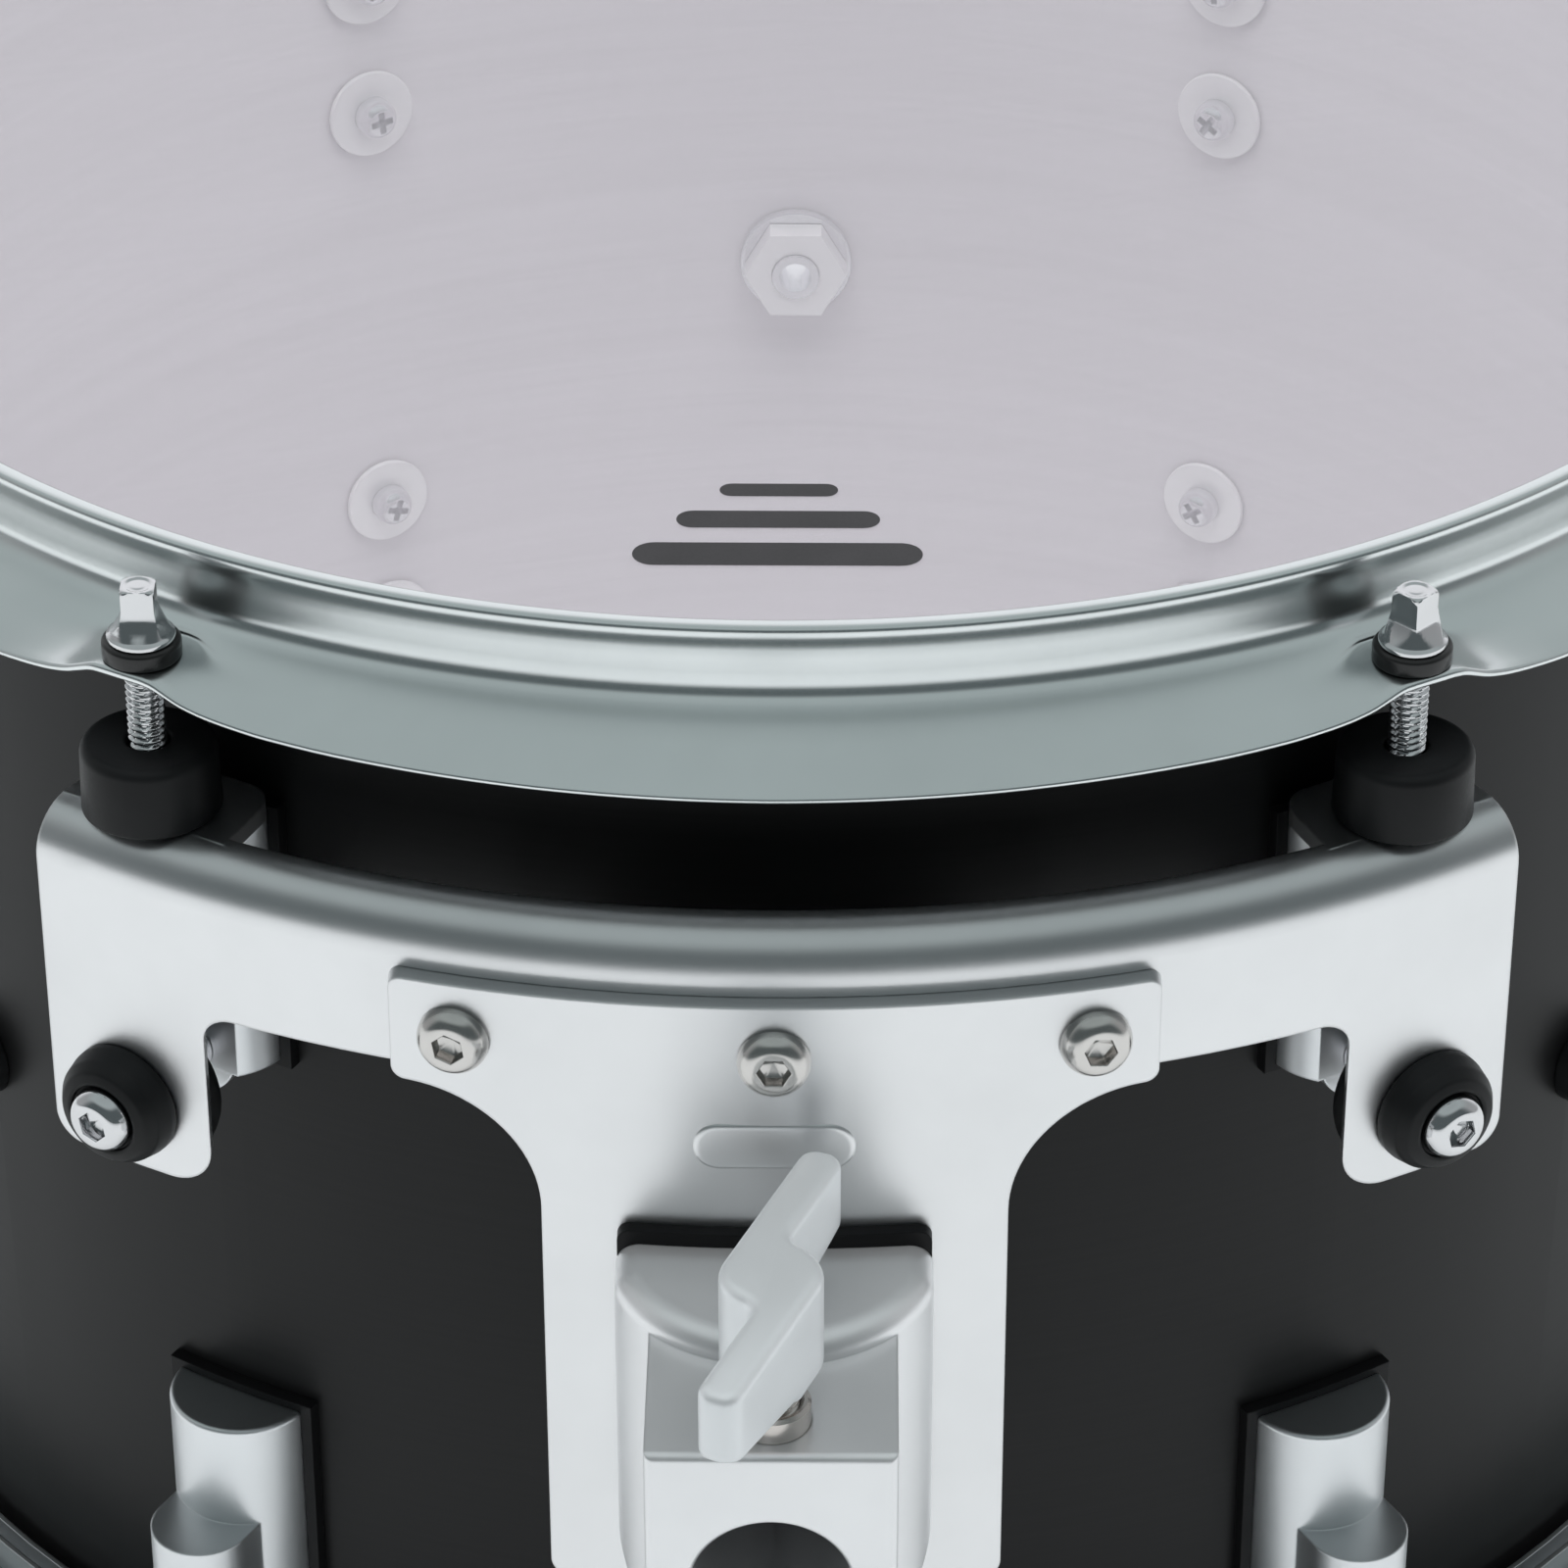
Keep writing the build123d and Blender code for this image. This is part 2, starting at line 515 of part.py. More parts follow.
with BuildPart() as casting:
    # half-round upright body
    with BuildSketch(Plane.XY.offset(cast_bottom)) as plan:
        with Locations((0, -191.3)):
            Circle(23.7)
        with Locations((0, -212)):
            Rectangle(2 * cast_w, 50, mode=Mode.INTERSECT)
        with Locations((0, -(180 + 199.0) / 2)):
            Rectangle(2 * cast_w, 19.0)
        fillet([v for v in plan.vertices() if -205 < v.Y < -190], 6.0)
    extrude(amount=cast_top - cast_bottom)
    rim = [e for e in casting.edges() if abs(e.center().Z - cast_top) < 0.01 and e.center().Y < -181 and e.bounding_box().size.Z < 0.01]
    fillet(rim, 3.6)
    with BuildSketch(Plane.XZ.offset(150)) as outline:
        with BuildLine():
            Polyline((-cast_w - 0.1, cast_top + 1), (cast_w + 0.1, cast_top + 1), (cast_w + 0.1, cast_bottom), (-cast_w - 0.1, cast_bottom), close=True)
        make_face()
        fillet([v for v in outline.vertices() if v.Y < -100], 16.0)
    extrude(amount=120, mode=Mode.INTERSECT)
    with Locations((0, 0, -110)):
        Cylinder(ga_out + 0.03, 100, mode=Mode.SUBTRACT)
    # clamp block
    with BuildSketch(Plane.XZ.offset(196)) as front_face:
        with BuildLine():
            Polyline((-17.3, floor_z), (17.3, floor_z), (17.3, block_bottom), (-17.3, block_bottom), close=True)
        make_face()
        fillet([v for v in front_face.vertices() if v.Y < -100], 5.0)
    extrude(amount=-cast_front - 196)
    block_edges = [e for e in casting.edges() if abs(e.center().Y - cast_front) < 0.01]
    fillet(block_edges, 1.2)
    # bore for the tom arm
    with Locations(Plane(origin=(0, -215, arm_z), z_dir=(0, -1, 0))):
        Cylinder(arm_r, 80, mode=Mode.SUBTRACT)
    # well for the threaded sleeve and the clamp shoe
    with Locations((0, clamp_y, arm_z + 4)):
        Cylinder(5.5, 40, align=(Align.CENTER, Align.CENTER, Align.MIN), mode=Mode.SUBTRACT)
    mouth = [e for e in casting.edges().filter_by(GeomType.CIRCLE) if abs(e.center().Y - cast_front) < 0.01 and abs(e.radius - arm_r) < 0.01]
    chamfer(mouth, 0.5)
    for x, z in cast_screws:
        with Locations(Plane(origin=(x, -192, z), z_dir=(0, -1, 0))):
            Cylinder(2.45, 18, mode=Mode.SUBTRACT)
save(casting.part, "arm_clamp_casting")

with BuildPart() as casting_screws:
    for x, z in cast_screws:
        with Locations(Plane(origin=(x, -186.1, z), z_dir=(0, -1, 0))):
            Cylinder(4.4, 2.8, align=(Align.CENTER, Align.CENTER, Align.MAX))
            Cylinder(2.4, 14.0, align=(Align.CENTER, Align.CENTER, Align.MIN))
save(casting_screws.part, "casting_screws")

bolt_r = 4.0
with BuildPart() as thread_sleeve:
    with Locations((0, clamp_y, -89.0)):
        Cylinder(5.47, 89.0 - 81.1, align=(Align.CENTER, Align.CENTER, Align.MIN))
        Cylinder(bolt_r, 40, mode=Mode.SUBTRACT)
    chamfer(thread_sleeve.edges().filter_by(GeomType.CIRCLE).group_by(Axis.Z)[-1], 0.5)
save(thread_sleeve.part, "thread_sleeve")

shoe_top, shoe_bottom = -90.6, arm_z + arm_r + 0.3
with BuildPart() as clamp_shoe:
    with Locations((0, clamp_y, shoe_bottom)):
        Cylinder(5.45, shoe_top - shoe_bottom, align=(Align.CENTER, Align.CENTER, Align.MIN))
    with Locations((0, clamp_y, shoe_top)):
        Cylinder(2.55, 6.4, mode=Mode.SUBTRACT)
save(clamp_shoe.part, "clamp_shoe")

# wing bolt: hub, two offset blades and a stud whose tip turns in the shoe
wing_top, wing_end, hub_bottom = -59.3, -70.4, -75.8
blade_len, blade_off, blade_half, hub_r = 28.2, 4.0, 3.1, 7.1
with BuildPart() as wing:
    with BuildSketch(Plane.XY.offset(-75.0)) as plan:
        Circle(hub_r)
        for s in (1, -1):
            with Locations((s * blade_off, -s * blade_len / 2)):
                Rectangle(2 * blade_half, blade_len)
        tips = [v for v in plan.vertices() if abs(v.Y) > 20]
        fillet(tips, 1.9)
        roots = [v for v in plan.vertices() if abs(abs(v.X) - (blade_off - blade_half)) < 0.05 and 6 < abs(v.Y) < 8]
        fillet(roots, 3.0)
    extrude(amount=wing_top + 75.0)
    for s in (1, -1):
        with BuildSketch(Plane.YZ.offset(-20)) as slope:
            with BuildLine():
                Polyline((-s * 6.9, -75.3), (-s * 6.9, -74.3), (-s * 32, wing_end), (-s * 32, -75.3), close=True)
            make_face()
        extrude(amount=40, mode=Mode.SUBTRACT)
    top_edges = [e for e in wing.edges() if abs(e.center().Z - wing_top) < 0.01]
    try:
        fillet(top_edges, 1.2)
    except Exception:
        chamfer(top_edges, 0.6)
    with Locations((0, 0, hub_bottom)):
        Cone(6.0, 7.05, 1.0, align=(Align.CENTER, Align.CENTER, Align.MIN))
    with Locations((0, 0, -90.45)):
        Cylinder(bolt_r - run, 90.45 - 75.0, align=(Align.CENTER, Align.CENTER, Align.MIN))
    with Locations((0, 0, -93.4)):
        Cylinder(2.5, 4, align=(Align.CENTER, Align.CENTER, Align.MIN))
with BuildPart() as wing_bolt:
    with Locations(Location((0, clamp_y, 0), (0, 0, -22.8))):
        add(wing.part)
save(wing_bolt.part, "wing_bolt")

# ---------------------------------------------------------------- air vents and badge
with BuildPart() as vent_tube:
    with BuildSketch(Plane.XZ):
        with BuildLine():
            Polyline((3.0, 149.5), (4.5, 149.5), (4.5, 165.2), (7.5, 165.2), (7.0, 166.1), (5.6, 166.6), (3.0, 166.6), close=True)
        make_face()
    revolve(axis=Axis.Z)
with BuildPart() as vent_nut:
    with BuildSketch(Plane.XY.offset(150.3)):
        RegularPolygon(9.8, 6)
        Circle(4.55, mode=Mode.SUBTRACT)
    extrude(amount=5.0)
with BuildPart() as vent_washer:
    with BuildSketch(Plane.XY.offset(155.5)):
        Circle(10.6)
        Circle(4.7, mode=Mode.SUBTRACT)
    extrude(amount=1.9)
    fins = [math.radians(15 * i) for i in range(24)]
with BuildPart() as badge:
    with BuildSketch(Plane.XY.offset(160)):
        Ellipse(24, 17)
        Circle(4.6, mode=Mode.SUBTRACT)
    extrude(amount=5.15)
    with Locations(Plane(origin=(0, 0, 0), z_dir=(0, 1, 0))):
        Cylinder(shell_r + 0.05, 80, mode=Mode.SUBTRACT)
with BuildPart() as badge_trim:
    add(badge.part)
for source, name in ((vent_tube.part, "vent_tube"), (vent_nut.part, "vent_nut"), (vent_washer.part, "vent_lock_washer"),
                     (badge_trim.part, "badge")):
    with BuildPart() as placed:
        with Locations(Plane(origin=(0, 0, mid_z), x_dir=(1, 0, 0), z_dir=(0, 1, 0)).location):
            add(source)
    save(placed.part, name)

with BuildPart() as side_vent:
    with BuildSketch(Plane.XZ):
        with BuildLine():
            Polyline((2.0, 155.0), (3.2, 155.0), (3.2, 167.6), (5.1, 167.6), (5.1, 168.4))
            ThreePointArc((5.1, 168.4), (4.4, 169.8), (3.0, 170.4))
            Polyline((3.0, 170.4), (2.0, 170.4), (2.0, 155.0))
        make_face()
    revolve(axis=Axis.Z)
with BuildPart() as side_ring:
    with BuildSketch(Plane.XZ):
        with BuildLine():
            Polyline((3.25, 162.0), (7.2, 162.0), (7.2, 166.9), (6.6, 168.6), (5.3, 168.9), (5.3, 167.5), (3.25, 167.5), close=True)
        make_face()
    revolve(axis=Axis.Z)
    with Locations(Plane(origin=(0, 0, 0), z_dir=(0, 1, 0))):
        Cylinder(shell_r + 0.03, 40, mode=Mode.SUBTRACT)
for source, name in ((side_vent.part, "side_vents"), (side_ring.part, "side_vent_rings")):
    with BuildPart() as pair:
        for a in (-49.2, 49.2):
            sa, ca = math.sin(math.radians(a)), math.cos(math.radians(a))
            with Locations(Plane(origin=(0, 0, mid_z), x_dir=(ca, sa, 0), z_dir=(sa, -ca, 0)).location):
                add(source)
    save(pair.part, name)
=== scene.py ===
import math

import bpy
from mathutils import Matrix, Vector


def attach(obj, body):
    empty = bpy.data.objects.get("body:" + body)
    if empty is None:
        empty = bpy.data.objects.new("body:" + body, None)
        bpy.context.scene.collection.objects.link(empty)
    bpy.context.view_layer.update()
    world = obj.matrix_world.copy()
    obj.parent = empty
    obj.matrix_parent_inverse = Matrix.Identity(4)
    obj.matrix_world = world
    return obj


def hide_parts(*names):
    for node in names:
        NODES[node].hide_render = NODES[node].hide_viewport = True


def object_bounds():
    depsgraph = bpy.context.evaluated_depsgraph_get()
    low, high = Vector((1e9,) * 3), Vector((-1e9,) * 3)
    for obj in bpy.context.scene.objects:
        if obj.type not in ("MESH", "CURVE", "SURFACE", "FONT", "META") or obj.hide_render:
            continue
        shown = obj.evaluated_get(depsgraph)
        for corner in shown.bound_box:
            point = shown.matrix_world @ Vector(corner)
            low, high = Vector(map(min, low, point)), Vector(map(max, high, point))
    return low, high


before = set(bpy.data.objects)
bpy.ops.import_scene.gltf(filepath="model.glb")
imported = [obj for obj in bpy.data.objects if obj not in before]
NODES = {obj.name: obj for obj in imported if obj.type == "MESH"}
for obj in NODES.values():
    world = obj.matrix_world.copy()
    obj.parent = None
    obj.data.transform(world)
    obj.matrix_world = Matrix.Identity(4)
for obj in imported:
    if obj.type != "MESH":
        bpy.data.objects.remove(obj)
cad_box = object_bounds()
MM = 0.001

# ------------------------------------------------------------------ drum dimensions, millimetres
MID = -107.75            # mid-plane of the drum
ROD_R = 177.1            # tension rod circle
LUGS = [-30, 30, 90, 150, 210, 270]   # degrees from the front, towards +X
PLATE_R = 190.8
LEG_Z = -77.1
SCREW_Z = -50.3
CLAMP_Y = -226.5


# ------------------------------------------------------------------ mesh helpers
def make(name, verts, faces, mat, body="drum", nodes=(), sharp=38.0, scale=MM):
    """One mesh piece from points in millimetres."""
    me = bpy.data.meshes.new(name)
    me.from_pydata([(x * scale, y * scale, z * scale) for x, y, z in verts], [], faces)
    me.validate()
    me.update()
    me.polygons.foreach_set("use_smooth", [True] * len(me.polygons))
    if sharp is not None:
        me.set_sharp_from_angle(angle=math.radians(sharp))
    ob = bpy.data.objects.new(name, me)
    bpy.context.scene.collection.objects.link(ob)
    me.materials.append(mat)
    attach(ob, body)
    if nodes:
        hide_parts(*nodes)
    return ob


class Mesh:
    """Collects points and faces of several closed shells."""

    def __init__(self):
        self.v, self.f = [], []

    def add(self, verts, faces, move=None, flip=False):
        base = len(self.v)
        if move is not None:
            verts = [move @ Vector(p) for p in verts]
        self.v += [tuple(p) for p in verts]
        for f in faces:
            f = [base + i for i in f]
            self.f.append(tuple(reversed(f)) if flip else tuple(f))


def arc_pts(c, r, a0, a1, n):
    return [(c[0] + r * math.cos(math.radians(a0 + (a1 - a0) * i / n)),
             c[1] + r * math.sin(math.radians(a0 + (a1 - a0) * i / n))) for i in range(n + 1)]


def rounded(points, radii, n=5, closed=True):
    """A 2-D polyline with its corners rounded. radii: one number or one per corner."""
    m = len(points)
    if not hasattr(radii, "__len__"):
        radii = [radii] * m
    out = []
    for i, p in enumerate(points):
        p = Vector(p)
        if not closed and i in (0, m - 1):
            out.append(tuple(p))
            continue
        a, b = Vector(points[i - 1]), Vector(points[(i + 1) % m])
        da, db = (a - p), (b - p)
        la, lb = da.length, db.length
        r = radii[i]
        if r <= 0 or la < 1e-9 or lb < 1e-9:
            out.append(tuple(p))
            continue
        da.normalize(); db.normalize()
        ang = da.angle(db)
        if ang > math.pi - 0.02:
            out.append(tuple(p))
            continue
        t = min(r / math.tan(ang / 2), la * 0.49, lb * 0.49)
        r = t * math.tan(ang / 2)
        c = p + (da + db).normalized() * (r / math.sin(ang / 2))
        s, e = p + da * t, p + db * t
        vs, ve = s - c, e - c
        cross = vs.x * ve.y - vs.y * ve.x
        total = vs.angle(ve) * (1 if cross > 0 else -1)
        a0 = math.atan2(vs.y, vs.x)
        for k in range(n + 1):
            a_ = a0 + total * k / n
            out.append((c.x + r * math.cos(a_), c.y + r * math.sin(a_)))
    return out


def revolve(profile, seg=48, closed=False):
    """Turns (r, z) points about Z. Points with r = 0 become poles. The profile runs so that the outside is on its
    right when it goes up, that is from the bottom pole out and up to the top pole."""
    verts, faces, rows = [], [], []
    for r, z in profile:
        if r < 1e-9:
            rows.append([len(verts)])
            verts.append((0, 0, z))
        else:
            rows.append(list(range(len(verts), len(verts) + seg)))
            verts += [(r * math.cos(2 * math.pi * k / seg), r * math.sin(2 * math.pi * k / seg), z) for k in range(seg)]
    pairs = list(zip(rows, rows[1:]))
    if closed:
        pairs.append((rows[-1], rows[0]))
    for lo, hi in pairs:
        if len(lo) == 1 and len(hi) == 1:
            continue
        for k in range(seg):
            k2 = (k + 1) % seg
            if len(lo) == 1:
                faces.append((lo[0], hi[k2], hi[k]))
            elif len(hi) == 1:
                faces.append((lo[k], lo[k2], hi[0]))
            else:
                faces.append((lo[k], lo[k2], hi[k2], hi[k]))
    return verts, faces


def loft(rings, cap_start=True, cap_end=True):
    """Joins rings of equal point counts. Rings turn anticlockwise seen from the end."""
    verts, faces = [], []
    n = len(rings[0])
    for r in rings:
        verts += list(r)
    for j in range(len(rings) - 1):
        for k in range(n):
            k2 = (k + 1) % n
            faces.append((j * n + k, j * n + k2, (j + 1) * n + k2, (j + 1) * n + k))
    if cap_start:
        faces.append(tuple(range(n - 1, -1, -1)))
    if cap_end:
        faces.append(tuple((len(rings) - 1) * n + k for k in range(n)))
    return verts, faces


def around(a, x=0.0, n=0.0, z=0.0):
    """Placement turned a degrees from the front about the drum axis; local -Y points outwards."""
    return Matrix.Rotation(math.radians(a), 4, "Z") @ Matrix.Translation((x, -n, z))


def outward(a, n, z, spin=0.0):
    """Placement whose local +Z points radially outwards at angle a, at radius n and height z."""
    m = Matrix.Rotation(math.radians(a), 4, "Z") @ Matrix.Translation((0, -n, z))
    return m @ Matrix.Rotation(math.radians(90), 4, "X") @ Matrix.Rotation(math.radians(spin), 4, "Z")


FLIP = Matrix.Translation((0, 0, 2 * MID)) @ Matrix.Rotation(math.pi, 4, "X")


def smooth(t):
    t = max(0.0, min(1.0, t))
    return t * t * (3 - 2 * t)


# ------------------------------------------------------------------ materials
class Mat:
    def __init__(self, name):
        self.m = bpy.data.materials.new(name)
        self.m.use_nodes = True
        self.t = self.m.node_tree
        self.n, self.l = self.t.nodes, self.t.links
        self.p = self.n["Principled BSDF"]
        self.co = self.n.new("ShaderNodeTexCoord")

    def set(self, **kw):
        for k, v in kw.items():
            self.p.inputs[k.replace("_", " ")].default_value = v
        return self

    def mapping(self, scale=(1, 1, 1), source="Object"):
        mp = self.n.new("ShaderNodeMapping")
        mp.inputs["Scale"].default_value = scale
        self.l.new(self.co.outputs[source], mp.inputs["Vector"])
        return mp.outputs["Vector"]

    def noise(self, scale, detail=3.0, rough=0.55, vector=None, distortion=0.0):
        t = self.n.new("ShaderNodeTexNoise")
        t.inputs["Scale"].default_value = scale
        t.inputs["Detail"].default_value = detail
        t.inputs["Roughness"].default_value = rough
        t.inputs["Distortion"].default_value = distortion
        self.l.new(vector or self.co.outputs["Object"], t.inputs["Vector"])
        return t.outputs["Fac"]

    def ramp(self, fac, stops):
        r = self.n.new("ShaderNodeValToRGB")
        el = r.color_ramp.elements
        while len(el) > 1:
            el.remove(el[0])
        el[0].position, el[0].color = stops[0][0], tuple(stops[0][1]) + (1,)
        for pos, col in stops[1:]:
            e = el.new(pos)
            e.color = tuple(col) + (1,)
        self.l.new(fac, r.inputs["Fac"])
        return r.outputs["Color"]

    def maths(self, op, a, b=None, c=None, clamp=False):
        m = self.n.new("ShaderNodeMath")
        m.operation = op
        m.use_clamp = clamp
        for i, v in enumerate((a, b, c)):
            if v is None:
                continue
            if isinstance(v, (int, float)):
                m.inputs[i].default_value = v
            else:
                self.l.new(v, m.inputs[i])
        return m.outputs[0]

    def span(self, fac, lo, hi):
        m = self.n.new("ShaderNodeMapRange")
        m.inputs["To Min"].default_value = lo
        m.inputs["To Max"].default_value = hi
        self.l.new(fac, m.inputs["Value"])
        return m.outputs["Result"]

    def mix(self, fac, a, b, blend="MIX"):
        m = self.n.new("ShaderNodeMix")
        m.data_type = "RGBA"
        m.blend_type = blend
        if isinstance(fac, (int, float)):
            m.inputs["Factor"].default_value = fac
        else:
            self.l.new(fac, m.inputs["Factor"])
        for key, v in (("A", a), ("B", b)):
            s = [i for i in m.inputs if i.name == key and i.type == "RGBA"][0]
            if hasattr(v, "__len__"):
                s.default_value = tuple(v) + (1,)
            else:
                self.l.new(v, s)
        return [o for o in m.outputs if o.type == "RGBA"][0]

    def bump(self, height, strength=0.1, distance=0.0001, normal=None):
        b = self.n.new("ShaderNodeBump")
        b.inputs["Strength"].default_value = strength
        b.inputs["Distance"].default_value = distance
        self.l.new(height, b.inputs["Height"])
        if normal is not None:
            self.l.new(normal, b.inputs["Normal"])
        return b.outputs["Normal"]

    def edges(self, radius):
        b = self.n.new("ShaderNodeBevel")
        b.samples = 6
        b.inputs["Radius"].default_value = radius
        return b.outputs["Normal"]

    def to(self, out, socket):
        self.l.new(out, self.p.inputs[socket])
        return self


def satin_metal(name, colour, rough, edge=0.0, grain=0.06, tint=0.04, scale=2600.0, spread=0.05):
    """Fine blasted and plated metal: soft colour drift, speckled roughness, tiny bumps and softened edges."""
    m = Mat(name)
    m.set(Metallic=1.0)
    fine = m.noise(scale, 2.0, 0.6)
    drift = m.noise(38.0, 3.0, 0.6)
    c = m.ramp(drift, [(0.3, [v * (1 - tint) for v in colour]), (0.7, [min(1, v * (1 + tint * 0.4)) for v in colour])])
    m.to(c, "Base Color")
    m.to(m.span(fine, rough - spread, rough + spread), "Roughness")
    normal = m.edges(edge) if edge else None
    m.to(m.bump(fine, grain, 0.00004, normal), "Normal")
    return m.m


def polished(name, colour, rough, edge=0.0, grain=0.03, scale=900.0):
    m = Mat(name)
    m.set(Metallic=1.0)
    fine = m.noise(scale, 4.0, 0.6)
    cloud = m.noise(160.0, 3.0, 0.5)
    m.to(m.ramp(cloud, [(0.3, [v * 0.95 for v in colour]), (0.75, colour)]), "Base Color")
    m.to(m.span(fine, max(0.02, rough - 0.035), rough + 0.05), "Roughness")
    normal = m.edges(edge) if edge else None
    m.to(m.bump(fine, grain, 0.00002, normal), "Normal")
    return m.m


def matte_black(name, colour, rough, edge=0.0, grain=0.15, scale=1800.0, spec=0.5):
    m = Mat(name)
    m.p.inputs["Specular IOR Level"].default_value = spec
    fine = m.noise(scale, 3.0, 0.6)
    cloud = m.noise(90.0, 3.0, 0.6)
    m.to(m.ramp(cloud, [(0.3, [v * 0.75 for v in colour]), (0.75, [v * 1.2 for v in colour])]), "Base Color")
    m.to(m.span(fine, rough - 0.08, rough + 0.08), "Roughness")
    normal = m.edges(edge) if edge else None
    m.to(m.bump(fine, grain, 0.00005, normal), "Normal")
    return m.m


M_HOOP = satin_metal("satin_hoop_steel", (0.80, 0.83, 0.83), 0.25, grain=0.022, scale=5200.0, spread=0.03)
# painted shade: the underside of the pressed hoop's skirt gets a darker base colour, standing in for the shade and dark
# reflections under the skirt
hoop_nt = M_HOOP.node_tree
hoop_bsdf = hoop_nt.nodes["Principled BSDF"]
plated = hoop_bsdf.inputs["Base Color"].links[0].from_socket
# painted shade mask: 1 on the skirt's underside, mixes the plated colour towards dark grey
underside_painted_shade = hoop_nt.nodes.new("ShaderNodeAttribute")
underside_painted_shade.attribute_name = "underside_painted_shade"
painted_shade_mix = hoop_nt.nodes.new("ShaderNodeMix")
painted_shade_mix.data_type = "RGBA"
hoop_nt.links.new(underside_painted_shade.outputs["Fac"], painted_shade_mix.inputs[0])
hoop_nt.links.new(plated, painted_shade_mix.inputs[6])
painted_shade_mix.inputs[7].default_value = (0.50, 0.52, 0.525, 1.0)
hoop_nt.links.new(painted_shade_mix.outputs[2], hoop_bsdf.inputs["Base Color"])
M_BRACKET = satin_metal("satin_bracket_steel", (0.79, 0.793, 0.80), 0.33, edge=0.0006)
M_CAST = satin_metal("satin_cast_zinc", (0.82, 0.825, 0.835), 0.34, edge=0.0006, grain=0.08)
M_CAST.node_tree.nodes["Principled BSDF"].inputs["Metallic"].default_value = 0.76
M_LUG = satin_metal("satin_lug_zinc", (0.80, 0.82, 0.835), 0.36, edge=0.0005, grain=0.08)
M_WING = satin_metal("satin_wing_zinc", (0.74, 0.76, 0.775), 0.40, grain=0.05)
M_WING.node_tree.nodes["Principled BSDF"].inputs["Metallic"].default_value = 0.52
M_ALU = satin_metal("flesh_hoop_aluminium", (0.78, 0.79, 0.80), 0.30, edge=0.0003)
M_CHROME = polished("rod_chrome", (0.72, 0.72, 0.73), 0.10)
M_BUTTON = polished("button_stainless", (0.66, 0.64, 0.62), 0.20, edge=0.0002)
M_ZINC = polished("zinc_plate", (0.74, 0.73, 0.76), 0.24, edge=0.0002)
M_WASH = satin_metal("bright_zinc_washer", (0.955, 0.94, 0.955), 0.30, edge=0.0002, grain=0.03)
M_WASH.node_tree.nodes["Principled BSDF"].inputs["Metallic"].default_value = 0.35
M_INNER = satin_metal("bright_zinc_screw", (0.84, 0.83, 0.86), 0.22, edge=0.0002, grain=0.03)
M_INNER.node_tree.nodes["Principled BSDF"].inputs["Metallic"].default_value = 0.8
M_STUD = polished("stud_steel", (0.62, 0.58, 0.55), 0.22)
M_BRASS = polished("brass_insert", (0.70, 0.52, 0.24), 0.25, edge=0.0002)
M_BADGE = satin_metal("badge_nickel", (0.74, 0.74, 0.73), 0.22, edge=0.0004)
M_RUBBER = matte_black("foot_rubber", (0.007, 0.0075, 0.008), 0.46, edge=0.0004, spec=0.22)
M_GASKET = matte_black("gasket_rubber", (0.006, 0.006, 0.0065), 0.42, edge=0.0003, spec=0.18)
M_NYLON = matte_black("black_nylon", (0.008, 0.008, 0.008), 0.30, grain=0.05, edge=0.0002)


def shell_material():
    """Satin black outside with faint turning marks, pale sealed ply inside."""
    m = Mat("shell_lacquer_and_ply")
    sep = m.n.new("ShaderNodeSeparateXYZ")
    m.l.new(m.co.outputs["Object"], sep.inputs[0])
    x, y, z = sep.outputs
    r = m.maths("SQRT", m.maths("ADD", m.maths("MULTIPLY", x, x), m.maths("MULTIPLY", y, y)))
    ang = m.maths("ARCTAN2", x, y)
    inside = m.maths("LESS_THAN", r, 0.1625)
    comb = m.n.new("ShaderNodeCombineXYZ")
    m.l.new(m.maths("MULTIPLY", ang, 0.162), comb.inputs[0])
    m.l.new(z, comb.inputs[1])
    lines = m.n.new("ShaderNodeMapping")
    lines.inputs["Scale"].default_value = (9.0, 900.0, 1.0)
    m.l.new(comb.outputs[0], lines.inputs["Vector"])
    grain = m.noise(1.0, 6.0, 0.7, lines.outputs["Vector"], 0.3)
    broad = m.n.new("ShaderNodeMapping")
    broad.inputs["Scale"].default_value = (2.5, 70.0, 1.0)
    m.l.new(comb.outputs[0], broad.inputs["Vector"])
    band = m.noise(1.0, 4.0, 0.6, broad.outputs["Vector"], 0.6)
    black = m.ramp(grain, [(0.3, (0.0045, 0.0045, 0.0047)), (0.7, (0.0075, 0.0075, 0.0078))])
    m.p.inputs["Specular IOR Level"].default_value = 0.235
    pale = m.mix(m.span(grain, 0.0, 0.42), m.ramp(band, [(0.3, (0.80, 0.765, 0.80)), (0.7, (0.88, 0.845, 0.885))]),
                 (0.66, 0.62, 0.66))
    m.to(m.mix(inside, black, pale), "Base Color")
    m.to(m.maths("ADD", m.span(grain, 0.33, 0.45), m.maths("MULTIPLY", inside, 0.2)), "Roughness")
    m.to(m.bump(grain, 0.10, 0.00006), "Normal")
    return m.m


